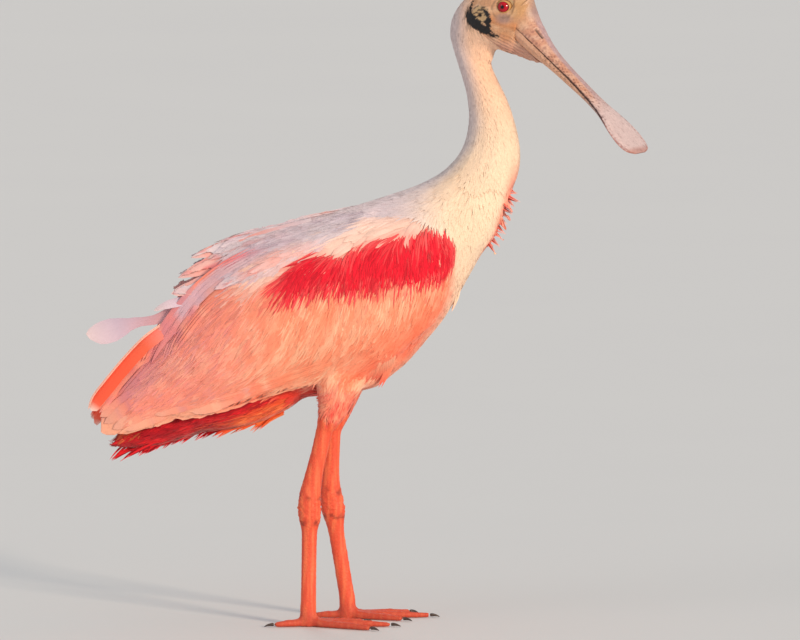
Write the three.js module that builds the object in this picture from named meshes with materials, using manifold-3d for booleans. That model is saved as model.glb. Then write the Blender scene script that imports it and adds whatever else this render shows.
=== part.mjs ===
// A roseate spoonbill standing with folded wings, head turned to its right and bill pointing down.
// Millimetres, +Z up. The bird faces +X and its right side is towards -Y.
import * as THREE from 'three';
import { mergeVertices } from 'three/addons/utils/BufferGeometryUtils.js';
import Module from 'manifold-3d';

const wasm = await Module();
wasm.setup();

// Driving dimensions
const GAP = 0.3; // clearance between neighbouring pieces
const FLOOR_CENTRE = { x: 33.4, y: -13.8 }; // middle of the box round the bird, moved to the origin

const HEAD_PIVOT = { x: 166.9, y: -15, z: 573.3 }; // point midway between the eyes
const HEAD_TURN = 28; // degrees towards the bird's right
const BILL_PITCH = 41; // degrees below level
const BILL_BASE = { x: 9.9, z: -19.5 }; // corner of the mouth, from the head pivot
const BILL_LENGTH = 166;

const EYE_RADIUS = 7;
const EYE_SPREAD = 11.6; // eyeball centre from the head's middle plane

const LEG_SPREAD = 30; // hip, hock and foot from the middle plane
const TOE_HEIGHT = 3.5; // toe centre line above the floor
const CLAW_LENGTH = 9;

const SMOOTH = 2; // section exponent of a plain ellipse
const WELD = 0.02; // vertices closer than this become one
const EDGE_THICK = 1; // least thickness of a wing or shoulder plate at its edges

// Colours read from the plumage and bare parts
const CREAM = 0xf2e2d8;
const SALMON = 0xf59c80;
const CRIMSON = 0xc4202a;
const ORANGE_RED = 0xf0603a;
const PINK_WHITE = 0xf3d6d2;
const BARE_SKIN = 0xcda57a;
const BILL_HORN = 0xcf9e8e;
const LEG_RED = 0xe2603f;
const CLAW_DARK = 0x3a2a26;
const EYE_RED = 0xc31432;

const paint = (color, roughness = 0.7) => () =>
  new THREE.MeshStandardMaterial({ color, roughness, metalness: 0 });
const FEATHER = {
  cream: paint(CREAM, 0.8),
  salmon: paint(SALMON, 0.75),
  crimson: paint(CRIMSON, 0.8),
  orange: paint(ORANGE_RED, 0.7),
  white: paint(PINK_WHITE, 0.75),
};
const SKIN = paint(BARE_SKIN, 0.55);
const HORN = paint(BILL_HORN, 0.45);
const LEG = paint(LEG_RED, 0.5);
const CLAW = paint(CLAW_DARK, 0.4);
const EYE = paint(EYE_RED, 0.15);

// Solid helpers

/** Closed loft through rings of equal length, with a fan cap at each end. */
function loft(rings) {
  const sides = rings[0].length;
  const points = rings.flat();
  const index = [];
  for (let r = 0; r + 1 < rings.length; r += 1) {
    for (let k = 0; k < sides; k += 1) {
      const a = r * sides + k;
      const b = r * sides + ((k + 1) % sides);
      index.push(a, b, b + sides, a, b + sides, a + sides);
    }
  }
  const lastStart = (rings.length - 1) * sides;
  for (const [ring, first, turned] of [[rings[0], 0, true], [rings.at(-1), lastStart, false]]) {
    const middle = points.length;
    points.push(ring.reduce((sum, p) => sum.add(p), new THREE.Vector3()).divideScalar(sides));
    for (let k = 0; k < sides; k += 1) {
      const a = first + k;
      const b = first + ((k + 1) % sides);
      index.push(...(turned ? [b, a, middle] : [a, b, middle]));
    }
  }
  const geometry = new THREE.BufferGeometry().setFromPoints(points);
  geometry.setIndex(signedVolume(points, index) < 0 ? index.reverse() : index);
  return geometry;
}

function signedVolume(points, index) {
  let sum = 0;
  const cross = new THREE.Vector3();
  for (let i = 0; i < index.length; i += 3) {
    sum += points[index[i]].dot(cross.crossVectors(points[index[i + 1]], points[index[i + 2]]));
  }
  return sum;
}

/** Turns a closed geometry into a solid that can be joined and cut. */
function solid(geometry) {
  const bare = geometry.clone();
  bare.deleteAttribute('normal');
  bare.deleteAttribute('uv');
  const merged = mergeVertices(bare, 1e-4);
  return new wasm.Manifold(new wasm.Mesh({
    numProp: 3,
    vertProperties: new Float32Array(merged.attributes.position.array),
    triVerts: new Uint32Array(merged.index.array),
  }));
}

/** The biggest connected piece of a cut solid, without loose slivers. */
function largest(body) {
  const pieces = body.decompose();
  return pieces.reduce((best, piece) => (piece.volume() > best.volume() ? piece : best));
}

function cut(body, ...tools) {
  return largest(tools.reduce((rest, tool) => rest.subtract(tool), body));
}

function join(first, ...others) {
  return others.reduce((sum, other) => sum.add(other), first);
}

/** The solid moved by a matrix of its scene object. */
function moved(body, object) {
  object.updateMatrixWorld(true);
  return body.transform(object.matrixWorld.toArray());
}

/** The geometry without the tiny edges that a cut leaves behind. */
function welded(geometry) {
  const merged = mergeVertices(geometry, WELD);
  const corners = [...merged.index.array];
  const kept = [];
  for (let i = 0; i < corners.length; i += 3) {
    const [a, b, c] = corners.slice(i, i + 3);
    if (a !== b && b !== c && c !== a) kept.push(a, b, c);
  }
  merged.setIndex(kept);
  merged.computeVertexNormals();
  return merged;
}

function mesh(name, body, material) {
  const { vertProperties, triVerts } = body.getMesh();
  const geometry = new THREE.BufferGeometry();
  geometry.setAttribute('position', new THREE.BufferAttribute(new Float32Array(vertProperties), 3));
  geometry.setIndex(new THREE.BufferAttribute(new Uint32Array(triVerts), 1));
  const result = new THREE.Mesh(welded(geometry), material());
  result.name = name;
  return result;
}

/** Smooth curve through points, whose stations are spread evenly over 0 to 1. */
function through(points) {
  return new THREE.CatmullRomCurve3(points, false, 'centripetal');
}

/** Smooth values through a list of triples. */
function values(triples) {
  return new THREE.CatmullRomCurve3(triples.map((t) => new THREE.Vector3(...t)), false, 'catmullrom', 0.5);
}

/** Point of a superellipse: how far along its first and second half axes. */
function superellipse(angle, exponent) {
  const bend = (v) => Math.sign(v) * Math.abs(v) ** (2 / exponent);
  return [bend(Math.cos(angle)), bend(Math.sin(angle))];
}

/**
 * Body loft in the middle plane. Each station has a back point and a front point [x, z],
 * the half width, the sideways shift y and the section exponent.
 */
function ladder(stations, { from = 0, to = 1, rings, sides, grow = 0 }) {
  const back = through(stations.map((s) => new THREE.Vector3(s.back[0], 0, s.back[1])));
  const front = through(stations.map((s) => new THREE.Vector3(s.front[0], 0, s.front[1])));
  const sizes = values(stations.map((s) => [s.half, s.y ?? 0, s.square ?? SMOOTH]));
  const made = [];
  for (let r = 0; r <= rings; r += 1) {
    const t = from + ((to - from) * r) / rings;
    const a = back.getPoint(t);
    const b = front.getPoint(t);
    const { x: half, y: shift, z: exponent } = sizes.getPoint(t);
    const middle = a.clone().lerp(b, 0.5).setY(shift);
    const reach = a.clone().sub(b).multiplyScalar(0.5);
    reach.setLength(reach.length() + grow);
    const ring = [];
    for (let k = 0; k < sides; k += 1) {
      const [u, v] = superellipse((2 * Math.PI * k) / sides, exponent);
      ring.push(middle.clone().addScaledVector(reach, u).add(new THREE.Vector3(0, (half + grow) * v, 0)));
    }
    made.push(ring);
  }
  if (grow > 0) {
    pushEnd(made[0], made[1], grow);
    pushEnd(made.at(-1), made.at(-2), grow);
  }
  return solid(loft(made));
}

/** Moves an end ring outwards, away from its neighbour. */
function pushEnd(ring, neighbour, by) {
  const centre = (r) => r.reduce((sum, p) => sum.add(p), new THREE.Vector3()).divideScalar(r.length);
  const out = centre(ring).sub(centre(neighbour)).setLength(by);
  ring.forEach((p) => p.add(out));
}

/**
 * Curved plate at one side of the body, such as a folded wing. Each station has a top and a bottom
 * point [x, z], the distances from the middle plane at its top, middle and bottom, and its thickness.
 */
function plate(stations, side, { rings, steps, grow = 0 }) {
  const top = through(stations.map((s) => new THREE.Vector3(s.top[0], 0, s.top[1])));
  const bottom = through(stations.map((s) => new THREE.Vector3(s.bottom[0], 0, s.bottom[1])));
  const bulge = values(stations.map((s) => s.out));
  const depth = values(stations.map((s) => [s.thick, 0, 0]));
  const made = [];
  for (let r = 0; r <= rings; r += 1) {
    const t = r / rings;
    const a = top.getPoint(t);
    const b = bottom.getPoint(t);
    const edge = a.clone().sub(b).setLength(grow);
    a.add(edge);
    b.sub(edge);
    const { x: atTop, y: atMiddle, z: atBottom } = bulge.getPoint(t);
    const handle = 2 * atMiddle - (atTop + atBottom) / 2;
    const thick = depth.getPoint(t).x;
    const outer = [];
    const inner = [];
    for (let k = 0; k <= steps; k += 1) {
      const v = k / steps;
      const out = (1 - v) ** 2 * atTop + 2 * v * (1 - v) * handle + v ** 2 * atBottom;
      const deep = Math.max(EDGE_THICK, thick * Math.sin(Math.PI * v) ** 0.6);
      const at = a.clone().lerp(b, v);
      outer.push(at.clone().setY(side * (out + grow)));
      inner.unshift(at.clone().setY(side * (out - deep - grow)));
    }
    made.push([...outer, ...inner]);
  }
  if (grow > 0) {
    pushEnd(made[0], made[1], grow);
    pushEnd(made.at(-1), made.at(-2), grow);
  }
  return solid(loft(made));
}

/** Long feather as a thin blade. Each station is [x, y, z, half width, half thickness]. */
function blade(stations, across, { from = 0, to = 1, rings = 8, sides = 8, grow = 0 } = {}) {
  const path = through(stations.map(([x, y, z]) => new THREE.Vector3(x, y, z)));
  const sizes = values(stations.map(([, , , half, thin]) => [half, thin, 0]));
  const made = [];
  for (let r = 0; r <= rings; r += 1) {
    const t = from + ((to - from) * r) / rings;
    const along = path.getTangent(t);
    const wide = new THREE.Vector3(...across);
    wide.addScaledVector(along, -along.dot(wide)).normalize();
    const normal = new THREE.Vector3().crossVectors(along, wide);
    const { x: half, y: thin } = sizes.getPoint(t);
    const ring = [];
    for (let k = 0; k < sides; k += 1) {
      const angle = (2 * Math.PI * k) / sides;
      ring.push(path.getPoint(t)
        .addScaledVector(wide, (half + grow) * Math.cos(angle))
        .addScaledVector(normal, (thin + grow) * Math.sin(angle)));
    }
    made.push(ring);
  }
  if (grow > 0) {
    pushEnd(made[0], made[1], grow);
    pushEnd(made.at(-1), made.at(-2), grow);
  }
  return solid(loft(made));
}

/** Limb of oval sections. Each station is [x, y, z, fore-and-aft radius, sideways radius]. */
function limb(stations, options) {
  return blade(stations, [1, 0, 0], options);
}

/** A big block that fills everything below a level. */
function belowFloor(level = 0) {
  const size = 400;
  const block = new THREE.BoxGeometry(size, size, size);
  block.translate(0, 0, level - size / 2);
  return solid(block);
}

// Neck and trunk share one row of stations, from the head down to the rump.
const BODY = [
  { back: [114, 556], front: [137, 545], half: 11, y: 6 },
  { back: [111.5, 541], front: [146.5, 522], half: 14.8, y: 5 },
  { back: [116.8, 520], front: [149, 512], half: 15.5, y: 3 },
  { back: [123.3, 499.5], front: [156.4, 497], half: 16, y: 1.5 },
  { back: [127.4, 480], front: [164.2, 480], half: 17.5 },
  { back: [127.9, 463.5], front: [169.3, 464], half: 19.5 },
  { back: [125, 447], front: [173.5, 447], half: 22 },
  { back: [118, 432], front: [174.8, 431], half: 25.5 },
  { back: [107, 420], front: [173, 416], half: 30 },
  { back: [94, 411], front: [167.5, 401.5], half: 35 },
  { back: [82, 405], front: [161, 384.5], half: 42, square: 2.1 },
  { back: [67, 399.5], front: [151.5, 358], half: 49, square: 2.2 },
  { back: [50, 394], front: [137, 332], half: 54, square: 2.2 },
  { back: [28, 387], front: [119.5, 299], half: 58, square: 2.2 },
  { back: [0, 378.5], front: [99.5, 268], half: 60, square: 2.2 },
  { back: [-32, 369], front: [70, 239.5], half: 58, square: 2.2 },
  { back: [-63, 357], front: [35, 215], half: 53, square: 2.2 },
  { back: [-90, 341], front: [-8, 210.5], half: 45, square: 2.1 },
  { back: [-110, 320], front: [-44, 208], half: 35 },
  { back: [-124, 298], front: [-74, 207], half: 25 },
  { back: [-133, 280], front: [-96, 212], half: 14 },
];
const LAST_STATION = BODY.length - 1;
const station = (n) => n / LAST_STATION;
const NECK_ENDS = [0, 3.2, 6.2, 8.8]; // stations where the neck's lengths meet
const JOINT_STEP = 0.024; // stations that make one gap between the lengths

const bodyPart = (from, to, rings, sides, grow = 0) => ladder(BODY, {
  from: station(from), to: station(to), rings, sides, grow,
});

const trunkBody = (grow = 0) => bodyPart(NECK_ENDS[3], LAST_STATION, 16, 18, grow);

// Small stiff plumes that stand out from the lower neck and breast
const FRINGE = [
  { root: [165.5, 395], tip: [175, 389.5], y: -8 },
  { root: [163, 389], tip: [168, 380.5], y: -14 },
  { root: [159, 381], tip: [166, 373], y: -4 },
  { root: [158, 373], tip: [161, 366], y: -12 },
  { root: [152, 364], tip: [160, 354], y: -6 },
  { root: [148, 352], tip: [152.5, 342], y: -9 },
];
const FRINGE_DEPTH = 4; // how deep each plume is rooted
const FRINGE_RADIUS = 2.6;

function fringePlume({ root, tip, y }) {
  const direction = new THREE.Vector3(tip[0] - root[0], 0, tip[1] - root[1]).normalize();
  const inside = new THREE.Vector3(root[0], y, root[1]).addScaledVector(direction, -FRINGE_DEPTH);
  return limb([
    [inside.x, y, inside.z, FRINGE_RADIUS, FRINGE_RADIUS],
    [root[0], y, root[1], FRINGE_RADIUS * 0.8, FRINGE_RADIUS * 0.8],
    [tip[0], y, tip[1], 0.4, 0.4],
  ], { rings: 2, sides: 4 });
}

// Head: stations in its own middle plane, measured from the point between the eyes
const HEAD = [
  { back: [-62, -34], front: [-20.5, -53.5], half: 15.6 },
  { back: [-61.5, -20], front: [-19.5, -45], half: 16.8 },
  { back: [-54.5, -4.5], front: [-14, -42], half: 18.3 },
  { back: [-40, 9], front: [-8.8, -43], half: 19.4 },
  { back: [-20, 16.5], front: [-4.5, -44.5], half: 19.2, square: 2.2 },
  { back: [3.5, 13], front: [-1.5, -45.5], half: 17, square: 2.3 },
  { back: [22.5, 3.5], front: [1.5, -46], half: 14.2, square: 2.4 },
];

// Upper half of the bill: distance from the corner of the mouth, culmen height, half width
const UPPER_BILL = [
  [-9, 27, 14.6], [7, 18, 13.6], [22, 12, 12.2], [40, 7.2, 10.6], [60, 5.4, 9.4], [80, 5, 9.2],
  [98, 4.4, 10.6], [112, 3.8, 14.2], [124, 3.3, 19.4], [136, 2.9, 23.8], [147, 2.6, 25.4],
  [156, 2.4, 22.8], [162.5, 2.1, 15.5], [BILL_LENGTH, 1.6, 5.5],
];
// Lower half: distance, depth, half width
const LOWER_BILL = [
  [-3, 13, 13.6], [12, 12.5, 12.8], [28, 11.5, 11.4], [42, 10, 10], [56, 8.6, 9], [72, 6.5, 8.6],
  [90, 4.4, 9.2], [106, 3.4, 11.8], [120, 3.2, 17], [134, 3, 22.4], [146, 2.6, 24.4],
  [155, 2.2, 22], [161.5, 1.8, 15], [BILL_LENGTH - 1, 1.2, 5],
];
// Loose skin of the throat, slung under the lower bill: distance, depth, half width
const THROAT = [[-12, 27, 11], [4, 27, 11], [16, 23.5, 9.5], [28, 18.5, 8], [36, 13.5, 6.5], [42, 10.5, 5]];

/** Half of the bill as a loft of half ovals; sense is 1 for the upper half and -1 for the lower. */
function billHalf(stations, sense, { rings, steps, grow = 0 }) {
  const sizes = values(stations);
  const made = [];
  for (let r = 0; r <= rings; r += 1) {
    const { x: along, y: tall, z: half } = sizes.getPoint(r / rings);
    const ring = [];
    for (let k = 0; k <= steps; k += 1) {
      const [u, v] = superellipse((Math.PI * k) / steps, SMOOTH);
      const height = GAP / 2 + (tall + grow) * Math.max(v, 0);
      ring.push(new THREE.Vector3(along, (half + grow) * u, sense * height));
    }
    ring.push(new THREE.Vector3(along, -half / 2, sense * (GAP / 2 - grow)));
    ring.push(new THREE.Vector3(along, half / 2, sense * (GAP / 2 - grow)));
    made.push(ring);
  }
  return solid(loft(made));
}

// Folded wing, from the shoulder to the tip
const WING = [
  { top: [119, 350], bottom: [117, 316], out: [48.5, 47.5, 38], thick: 3 },
  { top: [112, 367], bottom: [111, 293], out: [52.5, 53, 32], thick: 8 },
  { top: [97, 379], bottom: [94, 272], out: [53, 60.5, 36], thick: 11 },
  { top: [73, 384], bottom: [70, 254], out: [48.5, 65, 39], thick: 12 },
  { top: [37, 379], bottom: [35, 239], out: [43, 67.5, 41], thick: 12 },
  { top: [0, 367], bottom: [-7, 226], out: [41, 66.5, 38], thick: 12 },
  { top: [-37, 352], bottom: [-50, 216], out: [40, 62.5, 36], thick: 11 },
  { top: [-73, 333], bottom: [-90, 203.5], out: [36, 55.5, 36], thick: 9 },
  { top: [-105, 311], bottom: [-120, 194], out: [31, 48, 35], thick: 7 },
  { top: [-128, 288], bottom: [-143, 193], out: [27, 41, 32], thick: 5 },
  { top: [-152, 262], bottom: [-166, 184.5], out: [24, 34, 28.5], thick: 4 },
  { top: [-178, 238], bottom: [-188, 178], out: [21, 28, 25], thick: 3 },
  { top: [-200, 210], bottom: [-202, 174.5], out: [19, 22, 21], thick: 2.2 },
  { top: [-212.5, 191], bottom: [-211, 177], out: [18, 19, 18.5], thick: 1.4 },
];
const QUILL_LINE = { top: [-58, 345], bottom: [-20, 200] }; // where coverts give way to flight feathers

const wingPlate = (side, grow = 0) => plate(WING, side, { rings: 20, steps: 6, grow });

/** A thick wall through the wing along the quill line, or all that lies behind it. */
function behindQuillLine(shift) {
  const { top, bottom } = QUILL_LINE;
  const reach = 400;
  const shape = new THREE.Shape([
    new THREE.Vector2(top[0] + shift, top[1] + reach / 4),
    new THREE.Vector2(bottom[0] + shift, bottom[1] - reach / 4),
    new THREE.Vector2(bottom[0] - reach, bottom[1] - reach / 4),
    new THREE.Vector2(top[0] - reach, top[1] + reach / 4),
  ]);
  const block = new THREE.ExtrudeGeometry(shape, { depth: reach, bevelEnabled: false });
  block.rotateX(Math.PI / 2);
  block.translate(0, reach / 2, 0);
  return solid(block);
}

// Scapulars: long shoulder feathers that lie over the top of each wing, ragged and lifted at the end
const SCAPULARS = [
  { top: [40, 387], bottom: [36, 377], out: [28, 40, 46], thick: 3 },
  { top: [5, 381.5], bottom: [-8, 356], out: [12, 37, 51], thick: 6 },
  { top: [-30, 373], bottom: [-42, 341], out: [7, 36, 51], thick: 8 },
  { top: [-60, 366], bottom: [-68, 330], out: [4, 34, 48], thick: 8 },
  { top: [-88, 357], bottom: [-93, 315], out: [4, 30, 44], thick: 7 },
  { top: [-107, 347], bottom: [-111, 309], out: [5, 26, 37], thick: 5 },
];
const SCAPULAR_TIPS = [
  [[-70, 8, 359, 6, 2], [-105, 8, 348.5, 5.5, 1.6], [-128, 8, 339, 1.2, 0.5]],
  [[-74, 18, 347, 8, 2], [-112, 17, 334, 7, 1.6], [-140, 15, 321, 1.6, 0.5]],
  [[-76, 34, 332, 9, 2], [-112, 29, 317.5, 8, 1.6], [-137, 25, 309.5, 6.5, 1], [-146, 24, 307, 2, 0.6]],
];
const PLATE_ACROSS = [0.1, 0.55, 1]; // direction in which those feathers are wide, on the left side

function scapulars(side, grow = 0) {
  const base = plate(SCAPULARS, side, { rings: 6, steps: 4, grow });
  const tips = SCAPULAR_TIPS.map((row) => blade(
    row.map(([x, y, z, half, thin]) => [x, side * y, z, half, thin]),
    [PLATE_ACROSS[0], -side * PLATE_ACROSS[1], PLATE_ACROSS[2]],
    { rings: 3, sides: 5, grow },
  ));
  return join(base, ...tips);
}

// One loose white feather that sticks out behind, wide near its end
const LOOSE_PLUME = [
  [-112, -20, 303, 4, 1.2], [-128, -17, 297, 5.5, 1.2], [-145, -14, 288.5, 7, 1], [-161, -12, 282.5, 5, 0.8],
  [-179, -11, 279, 5.5, 0.7], [-196, -11, 273.5, 11, 0.7], [-210, -12, 270, 12, 0.7],
  [-220, -12, 269, 7.5, 0.6], [-224.3, -12, 268.6, 2.5, 0.4],
];

const loosePlume = (grow = 0) => blade(LOOSE_PLUME, [0.3, 0.4, 1], { rings: 14, sides: 6, grow });

// Tail: folded feathers stacked like a low roof: ridge point, half width, drop at the sides
const TAIL = [
  { at: [-104, 292], half: 11, drop: 6 },
  { at: [-122, 290], half: 14, drop: 9 },
  { at: [-147, 276.6], half: 16, drop: 11 },
  { at: [-178.5, 254.4], half: 17, drop: 13 },
  { at: [-193, 239.6], half: 17, drop: 13 },
  { at: [-208.8, 219.2], half: 16, drop: 12 },
  { at: [-219, 203], half: 14, drop: 9 },
  { at: [-223.8, 194.5], half: 8, drop: 4 },
];
const TAIL_THICK = 4;

function tail(grow = 0) {
  const ridge = through(TAIL.map(({ at }) => new THREE.Vector3(at[0], 0, at[1])));
  const sizes = values(TAIL.map(({ half, drop }) => [half, drop, 0]));
  const rings = 10;
  const steps = 4;
  const made = [];
  for (let r = 0; r <= rings; r += 1) {
    const along = ridge.getTangent(r / rings);
    const up = new THREE.Vector3(along.z, 0, -along.x);
    const { x: half, y: drop } = sizes.getPoint(r / rings);
    const upper = [];
    const lower = [];
    for (let k = 0; k <= steps; k += 1) {
      const v = (2 * k) / steps - 1;
      const at = ridge.getPoint(r / rings).add(new THREE.Vector3(0, (half + grow) * v, 0));
      upper.push(at.clone().addScaledVector(up, grow - drop * v * v));
      lower.unshift(at.clone().addScaledVector(up, -grow - TAIL_THICK - drop * v * v));
    }
    made.push([...upper, ...lower]);
  }
  if (grow > 0) {
    pushEnd(made[0], made[1], grow);
    pushEnd(made.at(-1), made.at(-2), grow);
  }
  return solid(loft(made));
}

// Coverts below the tail, from the vent back to their ragged tips
const UNDERTAIL = [
  { back: [-18, 232], front: [-22, 210], half: 12 },
  { back: [-40, 233], front: [-43, 195], half: 20 },
  { back: [-65, 229], front: [-69, 184.5], half: 25 },
  { back: [-92, 226], front: [-92, 178.5], half: 27 },
  { back: [-115, 222], front: [-115, 177.5], half: 26 },
  { back: [-138, 214], front: [-140, 168.5], half: 23 },
  { back: [-161, 202], front: [-163, 162], half: 18 },
  { back: [-183, 186], front: [-186, 162.5], half: 12 },
  { back: [-198.5, 171], front: [-199.5, 164], half: 4 },
];

const undertail = (grow = 0) => ladder(UNDERTAIL, { rings: 10, sides: 10, grow });

// Legs in the side view: the right one slants back below the knee, the left one forward below the hock.
// Stations are [x, z, fore-and-aft radius, sideways radius]; the bare ones run from inside the
// feathered thigh down to the ankle.
const LEGS = {
  right: {
    side: -1,
    feathered: [
      [10, 232, 25, 16], [7.5, 224, 21.5, 15], [4.5, 206, 15.5, 12.5], [-1, 192, 11, 10], [-4.5, 185, 8.4, 8],
    ],
    bare: [
      [-3.2, 191, 7.2, 6.6], [-9, 164, 7, 6.4], [-14.6, 141, 7.6, 6.4], [-18, 123, 9.4, 7.4],
      [-19, 110.5, 10.6, 8.2], [-18.6, 99, 9.6, 7.6], [-18.8, 90, 7.7, 6], [-19.3, 60, 7.5, 5.6],
      [-19.8, 30, 7.5, 5.8], [-20, 12, 8, 6.6],
    ],
  },
  left: {
    side: 1,
    feathered: [
      [12, 226, 25, 16], [11, 219, 21, 15], [8, 199, 14.5, 12.5], [4, 185, 10.5, 10], [2.6, 178, 8.4, 8],
    ],
    bare: [
      [2.9, 184, 7.2, 6.6], [1.5, 158, 7, 6.4], [0.2, 134, 7.6, 6.4], [0.6, 117, 9.4, 7.4],
      [2.4, 104, 10.6, 8.2], [3.8, 93, 9.4, 7.6], [5, 84, 7.7, 6], [10, 54, 7.5, 5.6],
      [13.8, 30, 7.5, 5.7], [15.9, 17, 7.8, 6.2], [16, 12, 8, 6.6],
    ],
  },
};
const HOCK_STATION = 4; // the bare station where shank and tarsus meet
const HOCK_GAP = 0.0018; // share of the bare leg on each side of that joint
// Toes: name, heading in degrees from straight ahead (positive is outwards), length
const TOES = [['inner', -24, 56], ['middle', 4, 76], ['outer', 30, 66], ['hind', 168, 32]];
const TOE_BASE_RADIUS = 4.4;
const TOE_TIP_RADIUS = 3;
const WEB_REACH = 24; // how far the small webs run out along the toes
const WEB_THICK = 1.8;
const WEB_HOLLOW = 0.33; // how far the web's front edge curves in

function legLength(stations, side, options) {
  const placed = stations.map(([x, z, fore, across]) => [x, side * LEG_SPREAD, z, fore, across]);
  return limb(placed, options);
}

const thigh = ({ side, feathered }) => legLength(feathered, side, { rings: 5, sides: 12 });

function shank({ side, bare }, grow = 0) {
  const hock = HOCK_STATION / (bare.length - 1);
  return legLength(bare, side, { to: hock - HOCK_GAP, rings: 7, sides: 10, grow });
}

function tarsus({ side, bare }) {
  const hock = HOCK_STATION / (bare.length - 1);
  return legLength(bare, side, { from: hock + HOCK_GAP, rings: 8, sides: 10 });
}

function toeHeading(side, degrees) {
  const angle = THREE.MathUtils.degToRad(degrees);
  return new THREE.Vector3(Math.cos(angle), side * Math.sin(angle), 0);
}

function toe({ side, bare }, [, degrees, length]) {
  const ankle = bare.at(-1);
  const heading = toeHeading(side, degrees);
  const y = side * LEG_SPREAD;
  const at = (reach, z, radius) => [ankle[0] + heading.x * reach, y + heading.y * reach, z, radius, radius];
  const path = [
    at(0, TOE_HEIGHT + 3.2, TOE_BASE_RADIUS),
    at(length * 0.2, TOE_HEIGHT + 0.4, TOE_BASE_RADIUS),
    at(length * 0.45, TOE_HEIGHT - 0.1, TOE_BASE_RADIUS * 0.92),
    at(length * 0.7, TOE_HEIGHT - 0.4, TOE_BASE_RADIUS * 0.84),
    at(length * 0.9, TOE_HEIGHT - 0.9, TOE_TIP_RADIUS),
    at(length, TOE_HEIGHT - 1, TOE_TIP_RADIUS * 0.8),
  ];
  return blade(path, [0, 0, 1], { rings: 5, sides: 6 });
}

/** Web between two neighbouring front toes, with a hollow front edge. */
function web({ side, bare }, first, second) {
  const ankle = bare.at(-1);
  const y = side * LEG_SPREAD;
  const a = toeHeading(side, first[1]).multiplyScalar(WEB_REACH);
  const b = toeHeading(side, second[1]).multiplyScalar(WEB_REACH);
  const hollow = a.clone().add(b).multiplyScalar(WEB_HOLLOW);
  const shape = new THREE.Shape();
  shape.moveTo(0, 0);
  shape.lineTo(a.x, a.y);
  shape.quadraticCurveTo(hollow.x, hollow.y, b.x, b.y);
  shape.lineTo(0, 0);
  const options = { depth: 2 * WEB_THICK, bevelEnabled: false, curveSegments: 3 };
  const geometry = new THREE.ExtrudeGeometry(shape, options);
  geometry.translate(ankle[0], y, -WEB_THICK);
  return solid(geometry);
}

function foot(leg) {
  const { side, bare } = leg;
  const [x, z] = bare.at(-1);
  const heel = legLength([[x, z - 2 * GAP, 8, 6.6], [x, z - 5, 8.2, 7], [x, -1, 6.5, 6]], side, {
    rings: 2, sides: 8,
  });
  const toes = TOES.map((row) => toe(leg, row));
  const webs = [web(leg, TOES[0], TOES[1]), web(leg, TOES[1], TOES[2])];
  return cut(join(heel, ...toes, ...webs), belowFloor());
}

function claw({ side, bare }, [, degrees, length]) {
  const ankle = bare.at(-1);
  const heading = toeHeading(side, degrees);
  const y = side * LEG_SPREAD;
  const start = length + GAP;
  const at = (reach, z, radius) => [
    ankle[0] + heading.x * (start + reach), y + heading.y * (start + reach), z, radius, radius * 0.85,
  ];
  const path = [
    at(0, TOE_HEIGHT - 0.9, 2.1),
    at(CLAW_LENGTH * 0.4, TOE_HEIGHT - 0.9, 1.7),
    at(CLAW_LENGTH * 0.75, TOE_HEIGHT - 1.6, 1),
    at(CLAW_LENGTH, TOE_HEIGHT - 2.7, 0.35),
  ];
  return largest(blade(path, [0, 0, 1], { rings: 3, sides: 5 }).subtract(belowFloor(GAP)));
}

// Assembly
const bird = new THREE.Group();
bird.position.set(-FLOOR_CENTRE.x, -FLOOR_CENTRE.y, 0);

const headFrame = new THREE.Group();
headFrame.position.set(HEAD_PIVOT.x, HEAD_PIVOT.y, HEAD_PIVOT.z);
headFrame.rotation.z = -THREE.MathUtils.degToRad(HEAD_TURN);

const billFrame = new THREE.Group();
billFrame.position.set(BILL_BASE.x, 0, BILL_BASE.z);
billFrame.rotation.y = THREE.MathUtils.degToRad(BILL_PITCH);

function addHead() {
  const skull = (grow = 0) => ladder(HEAD, { rings: 10, sides: 16, grow });
  const eyeball = (side, radius) => {
    const ball = new THREE.SphereGeometry(radius, 12, 8);
    ball.translate(0, side * EYE_SPREAD, 0);
    return solid(ball);
  };
  const sockets = [-1, 1].map((side) => eyeball(side, EYE_RADIUS + GAP));
  headFrame.add(mesh('head', cut(skull(), ...sockets), SKIN));
  headFrame.add(mesh('eye_right', eyeball(-1, EYE_RADIUS), EYE));
  headFrame.add(mesh('eye_left', eyeball(1, EYE_RADIUS), EYE));

  // Bill and throat are cut in the bill's own frame, where the head is turned back by the bill's pitch.
  const toBill = new THREE.Object3D();
  billFrame.updateMatrix();
  toBill.applyMatrix4(billFrame.matrix.clone().invert());
  const headHere = moved(skull(GAP), toBill);
  const lowerHere = billHalf(LOWER_BILL, -1, { rings: 16, steps: 6, grow: GAP });
  billFrame.add(mesh('bill_upper', cut(billHalf(UPPER_BILL, 1, { rings: 20, steps: 6 }), headHere), HORN));
  billFrame.add(mesh('bill_lower', cut(billHalf(LOWER_BILL, -1, { rings: 16, steps: 6 }), headHere), HORN));
  const throat = billHalf(THROAT, -1, { rings: 6, steps: 6 });
  billFrame.add(mesh('throat_skin', cut(throat, headHere, lowerHere), SKIN));
  headFrame.add(billFrame);
  bird.add(headFrame);
  return moved(skull(GAP), inBird(headFrame));
}

/** Stand-in object with the frame's place inside the bird. */
function inBird(frame) {
  const copy = new THREE.Object3D();
  copy.position.copy(frame.position);
  copy.rotation.copy(frame.rotation);
  return copy;
}

function addNeck(headTool) {
  const names = ['neck_upper', 'neck_middle', 'neck_lower'];
  names.forEach((name, i) => {
    const length = bodyPart(NECK_ENDS[i], NECK_ENDS[i + 1] - JOINT_STEP, 5, 14);
    bird.add(mesh(name, i === 0 ? cut(length, headTool) : length, FEATHER.cream));
  });
}

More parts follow.
